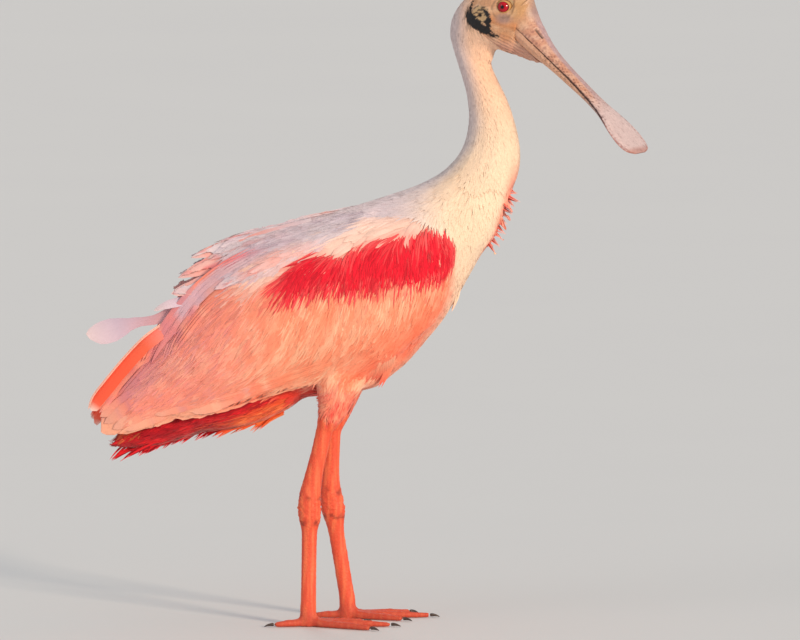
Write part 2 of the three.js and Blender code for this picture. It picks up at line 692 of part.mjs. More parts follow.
function addTrunk() {
  bird.add(mesh('trunk', join(trunkBody(), ...FRINGE.map(fringePlume)), FEATHER.cream));
}

function addWings(trunkTool) {
  for (const [name, side] of [['right', -1], ['left', 1]]) {
    const wing = cut(wingPlate(side), trunkTool);
    const split = GAP / 2;
    const coverts = largest(wing.subtract(behindQuillLine(split)));
    const quills = largest(wing.intersect(behindQuillLine(-split)));
    bird.add(mesh(`wing_${name}_coverts`, coverts, FEATHER.salmon));
    bird.add(mesh(`wing_${name}_quills`, quills, FEATHER.salmon));
  }
}

function addRear(trunkTool, wingTools) {
  const plumeTool = loosePlume(GAP);
  const scapularTools = [scapulars(-1, GAP), scapulars(1, GAP)];
  bird.add(mesh('scapulars_right', cut(scapulars(-1), trunkTool, ...wingTools), FEATHER.white));
  bird.add(mesh('scapulars_left', cut(scapulars(1), trunkTool, ...wingTools), FEATHER.white));
  bird.add(mesh('plume_loose', cut(loosePlume(), trunkTool, ...wingTools, ...scapularTools), FEATHER.white));
  bird.add(mesh('tail', cut(tail(), trunkTool, ...wingTools, ...scapularTools, plumeTool), FEATHER.orange));
  bird.add(mesh('undertail_coverts', cut(undertail(), trunkTool, ...wingTools, tail(GAP)), FEATHER.crimson));
}

function addLegs(trunkTool, wingTools) {
  for (const [name, leg] of Object.entries(LEGS)) {
    const clearThigh = cut(thigh(leg), trunkTool, undertail(GAP), shank(leg, GAP), ...wingTools);
    bird.add(mesh(`thigh_${name}`, clearThigh, FEATHER.salmon));
    bird.add(mesh(`shank_${name}`, shank(leg), LEG));
    bird.add(mesh(`tarsus_${name}`, tarsus(leg), LEG));
    bird.add(mesh(`foot_${name}`, foot(leg), LEG));
    for (const row of TOES) bird.add(mesh(`claw_${name}_${row[0]}`, claw(leg, row), CLAW));
  }
}

const headTool = addHead();
const trunkTool = trunkBody(GAP);
const wingTools = [wingPlate(-1, GAP), wingPlate(1, GAP)];
addNeck(headTool);
addTrunk();
addWings(trunkTool);
addRear(trunkTool, wingTools);
addLegs(trunkTool, wingTools);

export default bird;
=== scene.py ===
# A roseate spoonbill as a life-size still model: skin, plumage, bill, eyes and legs.
import math
from collections import defaultdict

import bmesh
import bpy
import numpy as np
from mathutils import Matrix, Vector
from mathutils.bvhtree import BVHTree


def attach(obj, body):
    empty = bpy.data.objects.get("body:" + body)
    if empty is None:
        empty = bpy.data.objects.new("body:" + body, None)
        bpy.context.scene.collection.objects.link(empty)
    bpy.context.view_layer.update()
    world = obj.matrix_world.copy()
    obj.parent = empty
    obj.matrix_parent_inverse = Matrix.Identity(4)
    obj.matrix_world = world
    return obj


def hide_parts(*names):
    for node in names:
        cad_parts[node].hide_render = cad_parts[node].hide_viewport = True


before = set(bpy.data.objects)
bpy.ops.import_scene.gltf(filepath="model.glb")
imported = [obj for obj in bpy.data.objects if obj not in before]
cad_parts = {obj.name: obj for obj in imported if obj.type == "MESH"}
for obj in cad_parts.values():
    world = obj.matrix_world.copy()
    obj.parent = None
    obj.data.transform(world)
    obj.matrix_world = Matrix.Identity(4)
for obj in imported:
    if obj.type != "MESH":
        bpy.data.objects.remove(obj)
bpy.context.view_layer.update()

MM = 0.001
SIDES = {"right": -1, "left": 1}

# Driving sizes, in millimetres unless a name says otherwise
MIDDLE = 13.8  # the bird's middle plane, as a distance along Y
HEAD_PIVOT = (133.5, -1.2, 573.3)  # midway between the eyes
HEAD_TURN = math.radians(28)
BILL_BASE = (9.9, 0.0, -19.5)  # corner of the mouth, from the head pivot
BILL_PITCH = math.radians(41)
BILL_LENGTH = 166.0
BILL_SAG = 4.6  # how far the spoon bends down
EYE_RADIUS = 7.0
EYE_SPREAD = 11.6  # eyeball centre from the head's middle plane
EYE_SHIFT = (-1.2, -1.6)  # eyeball centre in the head's side view
VOXEL = 1.7  # grain of the skin
THIGH_END = 191.0  # height at which the thigh's feathers give way to the bare shank
SWELL = 0.5  # how far the solids grow so that their joints close
BREAST_SLIM = 3.2  # how far the breast is drawn in
BAKE_PATCH = 0.003  # size of one tuft on the coat's own map

HEAD_FRAME = Matrix.Translation(Vector(HEAD_PIVOT) * MM) @ Matrix.Rotation(-HEAD_TURN, 4, "Z")
BILL_FRAME = HEAD_FRAME @ Matrix.Translation(Vector(BILL_BASE) * MM) @ Matrix.Rotation(BILL_PITCH, 4, "Y")

LEG_NODES = [f"{part}_{side}" for side in SIDES for part in ("shank", "tarsus", "foot")]
FLESH_NODES = ["head", "throat_skin", "trunk", "undertail_coverts", "neck_upper", "neck_middle", "neck_lower",
               "thigh_right", "thigh_left"] + LEG_NODES
WING_NODES = [f"wing_{side}_{part}" for side in SIDES for part in ("coverts", "quills")]
HULL_NODES = FLESH_NODES + WING_NODES + ["scapulars_right", "scapulars_left"]


def random(seed):
    return np.random.default_rng(seed)


def line_of(*points):
    return np.array(points, float)


def rgb(red, green, blue):
    """Colour of 0 to 255 as the eye reads it, turned into linear light."""
    c = np.array([red, green, blue]) / 255.0
    return np.where(c <= 0.04045, c / 12.92, ((c + 0.055) / 1.055) ** 2.4)


def blend(first, second, share):
    share = np.asarray(share)[..., None]
    return first * (1 - share) + second * share


def painted(colour, *layers):
    """The colour under layers of (colour, share), laid on one after another."""
    for over, share in layers:
        colour = blend(colour, over, share)
    return colour


def ramp(low, high, value):
    """0 below low, 1 above high, smooth between."""
    t = np.clip((np.asarray(value, float) - low) / (high - low), 0, 1)
    return t * t * (3 - 2 * t)


def fade(low, high, value):
    """1 below low, 0 above high, smooth between."""
    return 1 - ramp(low, high, value)


def bell(value, middle, width):
    """1 at the middle, falling off over the width to both sides."""
    return np.exp(-((value - middle) / width) ** 2)


def unit(v):
    return v / np.maximum(np.linalg.norm(v, axis=-1, keepdims=True), 1e-12)


def side_view(p):
    """Points in metres as [x, z] in millimetres."""
    return p[:, [0, 2]] / MM


def height_on(line, x):
    return np.interp(x, line[:, 0], line[:, 1])


def line_distance(flat, line, widths=None):
    """Distance of flat points to a line of points, less the line's half width there."""
    starts, spans = line[:-1], np.diff(line, axis=0)
    share = np.clip(((flat[:, None] - starts) * spans).sum(-1) / (spans ** 2).sum(-1), 0, 1)
    away = np.linalg.norm(flat[:, None] - starts - share[..., None] * spans, axis=-1)
    if widths is not None:
        away = away - (widths[:-1] + share * np.diff(widths))
    return away.min(1)


def local(matrix, points):
    """Points in metres as millimetres in a frame of its own."""
    inverse = np.array(matrix.inverted())
    return (points @ inverse[:3, :3].T + inverse[:3, 3]) / MM


def placed(matrix, points):
    """Millimetres in a frame of its own as points in metres."""
    m = np.array(matrix)
    return (np.asarray(points) * MM) @ m[:3, :3].T + m[:3, 3]


def ripple(p, size, seed):
    """Cheap smooth noise of about -1 to 1 with waves of the given size in millimetres."""
    rng = random(seed)
    total = np.zeros(len(p))
    for _ in range(6):
        direction = unit(rng.normal(size=3)) * 2 * math.pi / size * rng.uniform(0.6, 1.5)
        total += np.sin(p @ direction / MM + rng.uniform(0, 2 * math.pi))
    return total / 3.0


# Meshes

def new_mesh(name, points, faces):
    mesh = bpy.data.meshes.new(name)
    sizes = np.concatenate([np.full(len(f), f.shape[1]) for f in faces])
    corners = np.concatenate([f.ravel() for f in faces]).astype(np.int32)
    mesh.vertices.add(len(points))
    mesh.vertices.foreach_set("co", np.asarray(points, np.float32).ravel())
    mesh.loops.add(len(corners))
    mesh.loops.foreach_set("vertex_index", corners)
    mesh.polygons.add(len(sizes))
    mesh.polygons.foreach_set("loop_start", np.concatenate([[0], np.cumsum(sizes)[:-1]]).astype(np.int32))
    mesh.polygons.foreach_set("loop_total", sizes.astype(np.int32))
    mesh.update(calc_edges=True)
    mesh.polygons.foreach_set("use_smooth", np.ones(len(sizes), bool))
    mesh.validate()
    return mesh


def new_object(name, data):
    made = bpy.data.objects.new(name, data)
    bpy.context.scene.collection.objects.link(made)
    return made


def ring_quads(rings, count, first=0):
    """Quads between closed rings of count points."""
    k = np.arange(count)
    quad = np.stack([k, (k + 1) % count, count + (k + 1) % count, count + k], 1)
    return np.concatenate([first + r * count + quad for r in range(rings)])


def set_colour(mesh, colours):
    full = np.ones((len(colours), 4), np.float32)
    full[:, :3] = np.clip(colours, 0, 1)
    mesh.color_attributes.new("Tint", "FLOAT_COLOR", "POINT").data.foreach_set("color", full.ravel())


def set_attribute(mesh, name, kind, domain, values):
    field = "vector" if kind == "FLOAT_VECTOR" else "value"
    mesh.attributes.new(name, kind, domain).data.foreach_set(field, values.ravel())


def set_map(mesh, name, per_point):
    """A UV map given as one place for each point."""
    corner_points = np.zeros(len(mesh.loops), np.int32)
    mesh.loops.foreach_get("vertex_index", corner_points)
    layer = mesh.uv_layers.new(name=name)
    layer.data.foreach_set("uv", np.asarray(per_point, np.float32)[corner_points].ravel())


def edge_ends(mesh):
    ends = np.zeros(len(mesh.edges) * 2, np.int32)
    mesh.edges.foreach_get("vertices", ends)
    return ends.reshape(-1, 2)


def sharp_rims(mesh, rims):
    """Edges that run along a rim, where both faces of a feather shade apart.

    rims tells for each point whether it lies on the left rim (1), the right rim (2), the tip (3) or none (0).
    """
    first, second = rims[edge_ends(mesh)].T
    return (first > 0) & (second > 0) & ((first == second) | (first == 3) | (second == 3))


def read_vectors(items, field):
    values = np.zeros(len(items) * 3, np.float32)
    items.foreach_get(field, values)
    return values.reshape(-1, 3).astype(float)


def points_and_normals(mesh):
    return read_vectors(mesh.vertices, "co"), read_vectors(mesh.vertex_normals, "vector")


def move_points(mesh, points):
    mesh.vertices.foreach_set("co", points.astype(np.float32).ravel())
    mesh.update()


def finish_piece(name, mesh, material, replaced=()):
    made = new_object(name, mesh)
    mesh.materials.append(material)
    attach(made, "root")
    if replaced:
        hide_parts(*replaced)


def with_modifiers(data, *modifiers):
    """The mesh that a stack of (kind, settings) makes of another one."""
    holder = new_object("holder", data)
    for kind, settings in modifiers:
        modifier = holder.modifiers.new(kind, kind)
        for name, value in settings.items():
            setattr(modifier, name, value)
    graph = bpy.context.evaluated_depsgraph_get()
    result = bpy.data.meshes.new_from_object(holder.evaluated_get(graph))
    bpy.data.objects.remove(holder)
    return result


# Hull: all solids of the body grown together into one smooth surface

# Edges of the folded wing in the side view: over the breast and belly, and under the scapulars
WING_FRONT = line_of((84, 356), (86, 338), (82, 316), (70, 287), (54, 266), (36, 250), (12, 238), (-8, 230))
WING_TOP = line_of((66, 376), (32, 380), (0, 366), (-33, 355), (-84, 338), (-116, 324), (-140, 312))


def grown_together(nodes):
    """One smooth closed mesh round the named solids."""
    merged = bmesh.new()
    for node in nodes:
        part = bmesh.new()
        part.from_mesh(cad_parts[node].data)
        bmesh.ops.remove_doubles(part, verts=part.verts, dist=0.01 * MM)
        bmesh.ops.recalc_face_normals(part, faces=part.faces)
        part.normal_update()
        for vertex in part.verts:
            vertex.co += vertex.normal * SWELL * MM
        scratch = bpy.data.meshes.new("scratch")
        part.to_mesh(scratch)
        merged.from_mesh(scratch)
        part.free()
    mesh = bpy.data.meshes.new("hull")
    merged.to_mesh(mesh)
    merged.free()
    return with_modifiers(mesh, ("REMESH", {"mode": "VOXEL", "voxel_size": VOXEL * MM}),
                          ("SMOOTH", {"factor": 0.5, "iterations": 8}))


def soften(mesh, line, width, rounds):
    """Smooths a mesh close to a line given in the side view."""
    points = points_and_normals(mesh)[0]
    share = 0.6 * fade(0.4 * width, width, line_distance(side_view(points), line))
    edges = edge_ends(mesh)
    edges = edges[(share[edges] > 0).any(1)]
    first, second = edges.T
    count = np.maximum(np.bincount(edges.ravel(), minlength=len(points)), 1)[:, None]
    for _ in range(rounds):
        total = np.zeros_like(points)
        np.add.at(total, first, points[second])
        np.add.at(total, second, points[first])
        points += share[:, None] * (total / count - points)
    move_points(mesh, points)


def build_hull():
    """The surface of the body, with the joints of wing, breast and scapulars filled."""
    mesh = grown_together(HULL_NODES)
    soften(mesh, WING_FRONT, 15, 70)
    soften(mesh, WING_TOP, 10, 45)
    points, normals = points_and_normals(mesh)
    x, z = side_view(points).T
    low_front = normals @ unit(np.array([0.75, 0, -0.66]))
    slim = ramp(0.1, 0.7, low_front) * ramp(238, 262, z) * fade(335, 362, z) * ramp(20, 40, x)
    move_points(mesh, points - normals * (BREAST_SLIM * MM * slim)[:, None])
    return mesh


class Surface:
    """Nearest points and smooth normals on a mesh."""

    def __init__(self, mesh):
        self.points, normals = points_and_normals(mesh)
        self.faces = [tuple(p.vertices) for p in mesh.polygons]
        self.tree = BVHTree.FromPolygons(self.points.tolist(), self.faces)
        self.centres = np.array([self.points[list(f)].mean(0) for f in self.faces])
        self.face_normals = unit(np.array([normals[list(f)].mean(0) for f in self.faces]))

    def nearest(self, points):
        hits = [self.tree.find_nearest(p) for p in points.tolist()]
        places = np.array([hit[0] for hit in hits])
        return places, self.face_normals[[hit[2] for hit in hits]], np.array([hit[3] for hit in hits])


def node_finder():
    """Tree over all solids that tells which node lies nearest to a point."""
    points, faces, owner = [], [], []
    for name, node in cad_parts.items():
        start = len(points)
        points.extend(v.co[:] for v in node.data.vertices)
        for polygon in node.data.polygons:
            faces.append([start + v for v in polygon.vertices])
            owner.append(name)
    return BVHTree.FromPolygons(points, faces), owner


# Lie of the plumage in the side view: place [x, z] and heading in degrees, where -90 is straight down
LIE = line_of(
    (84, 550, -95), (100, 545, -70), (88, 515, -72), (112, 510, -68), (95, 480, -80), (120, 480, -68),
    (95, 455, -92), (125, 455, -70), (118, 435, -78), (92, 435, -112), (133, 425, -60), (75, 418, -135),
    (105, 412, -96), (128, 400, -60), (50, 403, -150), (82, 396, -118), (118, 380, -70), (104, 358, -92),
    (98, 335, -100), (90, 308, -106), (78, 284, -114), (15, 390, -160), (-30, 376, -161), (-70, 362, -158),
    (-100, 350, -154), (20, 376, -162), (-20, 364, -156), (-60, 348, -151), (-90, 330, -148),
    (-120, 318, -150),
    (76, 356, -78), (76, 322, -86), (60, 290, -104), (40, 350, -88), (30, 300, -98), (22, 268, -120),
    (-5, 238, -140), (-10, 340, -93), (-20, 290, -103), (-30, 252, -120), (-50, 226, -142), (-60, 318, -106),
    (-70, 280, -116), (-82, 242, -130), (-95, 214, -150), (-100, 300, -124), (-120, 262, -128),
    (-140, 222, -142), (-150, 198, -155), (-150, 262, -134), (-180, 226, -140), (-190, 190, -153),
    (-220, 200, -140), (30, 238, -140), (0, 214, -162), (-40, 210, -172), (-70, 205, -165), (-120, 198, -165),
    (-180, 180, -160), (-225, 168, -158), (-25, 215, -98), (-33, 190, -92), (-22, 228, -112),
)


def lie(points):
    """Unit heading of the plumage at each point."""
    headings = np.radians(LIE[:, 2])
    steps = np.stack([np.cos(headings), np.sin(headings)], 1)
    away = ((side_view(points)[:, None, :] - LIE[None, :, :2]) ** 2).sum(-1)
    mixed = unit((1 / (away + 30) ** 2) @ steps)
    return np.stack([mixed[:, 0], np.zeros(len(points)), mixed[:, 1]], 1)


# The body's own unwrap: distance along its axis and turn about it
AXIS = line_of((150, 575), (92, 551), (96, 530), (107, 498), (115, 464), (113, 431), (97, 406), (75, 379),
               (40, 343),
               (-15, 304), (-82, 276), (-150, 240), (-240, 165))


def unwrapped(points):
    flat = side_view(points)
    starts, spans = AXIS[:-1], np.diff(AXIS, axis=0)
    lengths = np.linalg.norm(spans, axis=1)
    share = np.clip(((flat[:, None, :] - starts) * spans).sum(-1) / lengths ** 2, 0, 1)
    feet = starts + share[..., None] * spans
    best = np.linalg.norm(flat[:, None, :] - feet, axis=-1).argmin(1)
    rows = np.arange(len(points))
    along = np.concatenate([[0], np.cumsum(lengths)])[best] + share[rows, best] * lengths[best]
    across = np.stack([-spans[best, 1], spans[best, 0]], 1) / lengths[best, None]
    height = ((flat - feet[rows, best]) * across).sum(1)
    turn = np.arctan2(points[:, 1] / MM - MIDDLE, height)
    return np.stack([turn / (2 * math.pi) + 0.5, along / lengths.sum()], 1)


# Plumage colours, read off one by one
CREAM = rgb(246, 218, 190)
NECK_TAN = rgb(244, 200, 170)
# Painted shade: the bluish shadow along the back of the neck
NAPE_SHADE_BLUE = rgb(214, 204, 212)
BACK_WHITE = rgb(226, 208, 214)
# Painted shade: lilac stands for the shadow on the white and pink feathers of the back and scapulars
LILAC_SHADE = rgb(196, 168, 194)
SHELL = rgb(248, 186, 176)
BAND = rgb(250, 210, 194)
BREAST_PEACH = rgb(252, 206, 174)
SALMON = rgb(250, 146, 112)
PEACH = rgb(255, 186, 152)
ORANGE = rgb(250, 96, 58)
# Painted shade: mauve stands for the shadows between the wing's rear feathers
ROSE = rgb(238, 138, 130)
MAUVE_SHADE = rgb(204, 128, 142)
CARMINE = rgb(228, 4, 40)
CRIMSON = rgb(160, 4, 24)
VENT_ORANGE = rgb(240, 88, 44)
TAIL_ORANGE = rgb(255, 96, 66)

# Shoulder patch: upper and lower edge in the side view
PATCH_TOP = line_of((-90, 319), (-74, 330), (-46, 350), (-36, 347), (-20, 346), (-9, 356), (10, 361),
                    (39, 366),
                    (57, 370), (73, 370), (81, 356))
PATCH_FOOT = line_of((-90, 319), (-80, 318), (-60, 322), (-40, 326), (-26, 329), (3, 332), (37, 337),
                     (66, 338),
                     (81, 350))

# Other lines in the side view: a shadowed red one, the middles of a lilac and a mauve band of painted shade, a yellow
# streak of the undertail, the wing's lower edge, the undertail's upper and lower edge, the nape and the breast's
# fringe
RED_LINE = line_of((-101.7, 347), (-147.5, 328.5))
LILAC_SHADE_LINE = line_of((-61, 364), (-95.6, 349), (-141.3, 318.6), (-168.8, 289.5))
MAUVE_SHADE_LINE = line_of((-165, 296), (-192, 250), (-216, 213))
YELLOW_LINE = line_of((-186, 196), (-222, 179))
WING_FOOT = line_of((-215, 178), (-150, 192), (-90, 206), (-40, 222), (0, 232), (36, 250), (70, 285),
                    (84, 320))
VENT_TOP = line_of((-141, 200), (-111, 211.5), (-80, 224.5), (-61, 229.5))
VENT_EDGE = line_of((-225, 161), (-195, 163), (-157, 176), (-140, 180), (-122, 180), (-90, 186), (-66, 197))
NAPE = line_of((45, 400), (72, 420), (90, 445), (95, 465), (90, 500), (80, 540))
FRINGE_LINE = line_of((103, 330), (117, 355), (127, 380), (134, 400), (141, 430), (141, 450))


def patch_share(p):
    """1 inside the shoulder patch, fading over its ragged edges."""
    x, z = side_view(p).T
    inside = ramp(-2, 7, height_on(PATCH_TOP, x) - z) * ramp(-8, 7, z - height_on(PATCH_FOOT, x))
    return inside * ramp(-84, -68, x) * fade(76, 83, x)


def near_patch(p):
    """True inside the shoulder patch and just above it, where only carmine strands show."""
    x, z = side_view(p).T
    return (x > -86) & (x < 84) & (z < height_on(PATCH_TOP, x) + 14) & (z > height_on(PATCH_FOOT, x) + 6)


def carmine(p):
    glow = 0.6 * ramp(0.3, 1.0, ripple(p * [2.4, 1, 0.5], 14, 12)) * ramp(20, 70, p[:, 0] / MM)
    pale = np.clip((1 - patch_share(p)) * 1.2 + glow, 0, 1)
    return blend(CARMINE, rgb(250, 96, 96), pale * 0.75) * (1 + 0.14 * ripple(p * [2, 1, 0.6], 8, 13))[:,
                                                                                                       None]


def by_front(p, body, wing, own):
    """The colours of breast and wing run into each other along the wing's front edge."""
    x, z = side_view(p).T
    front = np.interp(z, WING_FRONT[::-1, 1], WING_FRONT[::-1, 0])
    on_wing = ramp(-7, 9, (front - x) * 0.75 + 2.5 * ripple(p, 14, 15))
    zone = ramp(226, 240, z) * fade(348, 360, z) * ramp(-30, 5, x)
    return blend(own, blend(body, wing, on_wing), zone)


def body_colour(p):
    own = plain_body_colour(p)
    return by_front(p, own, plain_wing_colour(p), own)


def wing_colour(p):
    own = plain_wing_colour(p)
    return by_front(p, plain_body_colour(p), own, own)


def plain_body_colour(p):
    x, z = side_view(p).T
    side = np.abs(p[:, 1] / MM - MIDDLE)
    behind_nape = x - np.interp(z, NAPE[:, 1], NAPE[:, 0])
    before_fringe = x - np.interp(z, FRINGE_LINE[:, 1], FRINGE_LINE[:, 0])
    near_fringe = ramp(-16, 0, before_fringe) * fade(14, 26, side) * ramp(340, 352, z) * fade(402, 440, z)
    high = z > 520
    black = np.zeros(len(p))
    black[high] = black_share(local(HEAD_FRAME, p[high]), p[high])
    return painted(
        BACK_WHITE, (CREAM, ramp(20, 85, x)), (NECK_TAN, ramp(430, 520, z)),
        # Painted shade: bluish along the back of the neck
        (NAPE_SHADE_BLUE, fade(0, 17, behind_nape) * ramp(385, 410, z) * 0.7),
        (rgb(246, 120, 98), near_fringe * 0.75),
        (BREAST_PEACH, fade(300, 345, z) * ramp(30, 60, x) * 0.8),
        (EAR_BLACK, black),
        (blend(PEACH, SALMON, ramp(-0.3, 0.6, ripple(p, 30, 3))), fade(250, 300, z) * fade(70, 104, x)),
        (rgb(226, 46, 34), fade(13, 24, np.hypot((x + 58) / 1.7, z - 208)) * 0.95))


def with_painted_shade_lines(p, colour):
    """The colour with the painted lilac shade band and the shadowed red line of the scapulars over it."""
    flat = side_view(p)
    # Painted shade: a lilac band where the scapulars lie over the wing, and the red line of a shadowed gap
    lilac_shade = line_distance(flat, LILAC_SHADE_LINE) + 2 * ripple(p, 15, 16)
    return painted(colour, (rgb(206, 180, 196), fade(3, 9, lilac_shade) * 0.7),
                   (rgb(234, 84, 98), fade(1, 4.5, line_distance(flat, RED_LINE)) * 0.6))


def scapular_colour(p):
    rear = -p[:, 0] / MM
    return with_painted_shade_lines(p, painted(
        # Lilac streaks of painted shade over the scapulars
        BACK_WHITE, (LILAC_SHADE, ramp(0.05, 0.8, ripple(p * [1, 1, 2.2], 34, 5)) * 0.35),
        (SHELL, ramp(-0.1, 0.8, ripple(p * [1, 1, 2], 50, 6)) * ramp(-20, 70, rear) * 0.9),
        (rgb(244, 140, 132), ramp(0.5, 0.9, ripple(p * [0.6, 1, 2.5], 22, 7)) * ramp(40, 110, rear) * 0.6)))


def plain_wing_colour(p):
    x, z = side_view(p).T
    over_top = z - height_on(PATCH_TOP, x)
    over_foot = z - height_on(WING_FOOT, x)
    rear = ramp(60, 150, -x)
    # Streaks and a band of painted mauve shade over the wing's rear
    streak = ramp(0.15, 0.75, ripple(p * [1.5, 1, 1.1], 17, 9))
    mauve_shade = line_distance(side_view(p), MAUVE_SHADE_LINE) + 4 * ripple(p * [1, 1, 0.4], 14, 17)
    above = ramp(-6, 6, over_top)
    colour = painted(
        SALMON, (PEACH, ramp(-0.2, 0.7, ripple(p * [1.8, 1, 0.7], 26, 8))),
        (ORANGE, fade(6, 50, over_foot) * ramp(-30, 20, x) * 0.85),
        (ROSE, rear * 0.55),
        # Painted shade: mauve streaks and band over the wing's rear
        (MAUVE_SHADE, np.clip(streak * rear * 0.5 + fade(3, 15, mauve_shade) * 0.65, 0, 0.8)),
        (PEACH, ramp(90, 150, -x) * fade(6, 24, over_foot) * 0.7),
        (blend(BAND, BACK_WHITE, ramp(10, 30, over_top)), above * ramp(-150, -90, x)),
        (CREAM, ramp(76, 86, x) * 0.9))
    pink_under = (1 - above) * ramp(-4, 8, z - height_on(PATCH_FOOT, x)) * ramp(-94, -84, x) * fade(78, 83, x)
    return blend(with_painted_shade_lines(p, colour), rgb(238, 60, 70), pink_under * 0.75)


def vent_colour(p):
    x, z = side_view(p).T
    streak = ramp(-0.2, 0.6, ripple(p * [0.35, 1, 1.6], 9, 10))
    front = ramp(-128, -112,
                 x + 3 * ripple(p, 9, 18)) * ramp(13, 18, height_on(VENT_TOP, x) - z + 2 * ripple(p, 12, 27))
    return painted(CRIMSON, (rgb(226, 22, 34), streak),
                   (rgb(250, 150, 80), fade(1.5, 4, line_distance(side_view(p), YELLOW_LINE)) * 0.9),
                   (blend(VENT_ORANGE, rgb(252, 124, 66), streak), front))


def thigh_colour(p):
    return painted(rgb(240, 86, 74),
                   (rgb(252, 160, 128), ramp(-0.4, 0.7, ripple(p * [2.4, 2.4, 0.2], 12, 11))),
                   (rgb(254, 190, 160), ramp(216, 240, p[:, 2] / MM + 6 * ripple(p, 16, 19)) * 0.85))


REGION_COLOUR = {"body": body_colour, "wing": wing_colour, "scapular": scapular_colour, "vent": vent_colour,
                 "thigh": thigh_colour}
COAT_DEPTH = {"body": 1.0, "neck": 0.5, "wing": 1.7, "scapular": 1.5, "vent": 2.0, "thigh": 1.3, "bare": 0.0}
NODE_REGION = [("wing", "wing"), ("scap", "scapular"), ("thigh", "thigh"), ("undertail", "vent"),
               ("tail", "vent"),
               ("neck", "body"), ("trunk", "body"), ("head", "face"), ("throat", "face"), ("eye", "face"),
               ("bill", "face")]

# Bare skin of the head in its own side view: back edge of the face, black marks, and the lines of its folds
FACE_EDGE = line_of((-36, 26), (-36, 8), (-34.5, 2), (-41, -8), (-38.5, -14), (-30, -21.5), (-20.6, -28.3),
                    (-12, -35.5), (-4, -44), (0, -60))
CRESCENT = line_of((-33, 1.5), (-35.5, -3), (-36.5, -8), (-34, -13), (-29.5, -17), (-24, -20.2),
                   (-18.5, -23.6),
                   (-12, -27), (-5, -28.8))
CRESCENT_WIDTH = np.array([0.6, 2.2, 4.0, 4.8, 5.0, 4.8, 3.8, 2.0, 0.8])
EAR_ARC = line_of((-20.5, -3.5), (-16.5, -7.5), (-14, -13), (-15.5, -20))
EAR_ARC_WIDTH = np.array([0.4, 1.5, 2.5, 3.2])
CHEEK_FOLD = line_of((-11, -14), (2, -18), (10, -19.5))
JAW_CREASE = line_of((-8, -29), (2, -26), (12, -24))
BROW = line_of((4.5, 12), (9.5, 6), (10.5, 0), (9, -6))
FACE_TAN = rgb(198, 148, 112)
FACE_ORANGE = rgb(198, 126, 76)
FACE_GREY = rgb(150, 128, 128)
FACE_OLIVE = rgb(168, 146, 104)
EAR_BLACK = rgb(22, 18, 20)
EAR_TAN = rgb(178, 150, 110)
LEG_RED = rgb(228, 84, 54)
LEG_ORANGE = rgb(240, 112, 72)
LEG_DARK = rgb(120, 36, 28)


def region_of(points, finder):
    """Name of the plumage region at each point."""
    tree, owner = finder
    nodes = [owner[tree.find_nearest(p)[2]] for p in points.tolist()]
    found = {node: next((region for start, region in NODE_REGION if node.startswith(start)), "bare")
             for node in set(nodes)}
    names = np.array([found[node] for node in nodes])
    h = local(HEAD_FRAME, points)
    behind = np.interp(h[:, 2], FACE_EDGE[::-1, 1], FACE_EDGE[::-1, 0]) - h[:, 0]
    names[(names == "face") & (behind > 0)] = "body"
    names[names == "face"] = "bare"
    names[(points[:, 2] > 0.49) & (names == "body") & (behind < 0)] = "bare"
    ragged = THIGH_END + 5 * ripple(points, 5, 31) + 3 * ripple(points, 2.5, 32)
    names[(names == "thigh") & (points[:, 2] < ragged * MM)] = "bare"
    return names


def black_share(h, p):
    """1 on the black crescent behind the ear and the arc in front of it, with a mottled edge."""
    flat = h[:, [0, 2]]
    mottle = 0.9 * ripple(p, 4, 21) + 0.7 * ripple(p, 1.9, 24)
    away = np.minimum(line_distance(flat, CRESCENT, CRESCENT_WIDTH),
                      line_distance(flat, EAR_ARC, EAR_ARC_WIDTH))
    return fade(-0.5, 0.9, away + mottle) * (np.abs(h[:, 1]) > 4)


def throat_fold(h, p):
    """Waves of the loose skin along the throat, 1 on a fold and -1 between."""
    across = h[:, 0] * 0.5 + h[:, 2] * 0.86
    return np.sin(across * 2.1 + 1.4 * ripple(p, 14, 23)) * fade(-30, -23, h[:, 2] + 0.15 * h[:, 0])


def face_colour(p):
    h = local(HEAD_FRAME, p)
    flat = h[:, [0, 2]]
    x, z = flat.T
    from_eye = flat - EYE_SHIFT
    ring = np.abs(np.hypot(from_eye[:, 0] / 1.05, from_eye[:, 1] + 0.6) - 9.6 + 0.5 * ripple(p, 6, 28))
    ear = np.hypot((x + 23) / 1.15, z + 9.5)
    return painted(
        FACE_TAN, (rgb(224, 186, 152), ramp(-0.3, 0.7, ripple(p, 11, 22)) * 0.6),
        (rgb(150, 112, 92), ramp(0.35, 0.9, ripple(p, 2.6, 26)) * 0.35),
        (FACE_OLIVE, ramp(2, 14, z) * 0.6 * fade(-30, -16, -x)),
        (rgb(196, 148, 96), fade(4, 14, np.hypot(x - 13, z + 2)) * 0.6),
        (FACE_ORANGE, fade(1, 6, line_distance(flat, CHEEK_FOLD)) * 0.7),
        (FACE_ORANGE, fade(3, 10, np.hypot(x - 1, z + 32)) * 0.4),
        (rgb(150, 122, 116), fade(2, 7, np.hypot(x / 1.6, z + 12.5)) * 0.8),
        (FACE_GREY, ramp(18, 26, x) * ramp(-16, -4, z) * 0.8),
        (rgb(206, 152, 138), fade(-40, -27, z + 0.1 * x) * 0.6),
        (rgb(156, 118, 112), ramp(0.1, 0.9, -throat_fold(h, p)) * ramp(-0.7, 0.3, ripple(p, 8, 30)) * 0.4),
        (rgb(112, 74, 48), fade(0.2, 1.2, line_distance(from_eye, BROW)) * 0.5),
        (rgb(122, 96, 76), fade(0.3, 1.5, ring) * ramp(-0.6, 0.5, ripple(p, 5, 29)) * 0.5),
        (EAR_TAN, fade(6, 9.5, ear) * 0.85),
        (rgb(64, 48, 40), fade(7.5, 10, ear) * ramp(0.1, 0.55, ripple(p, 3.4, 25)) * 0.85),
        (rgb(26, 18, 16), fade(1.1, 2.1, np.hypot((x + 23.7) / 1.3, z + 10))),
        (EAR_BLACK, black_share(h, p)))


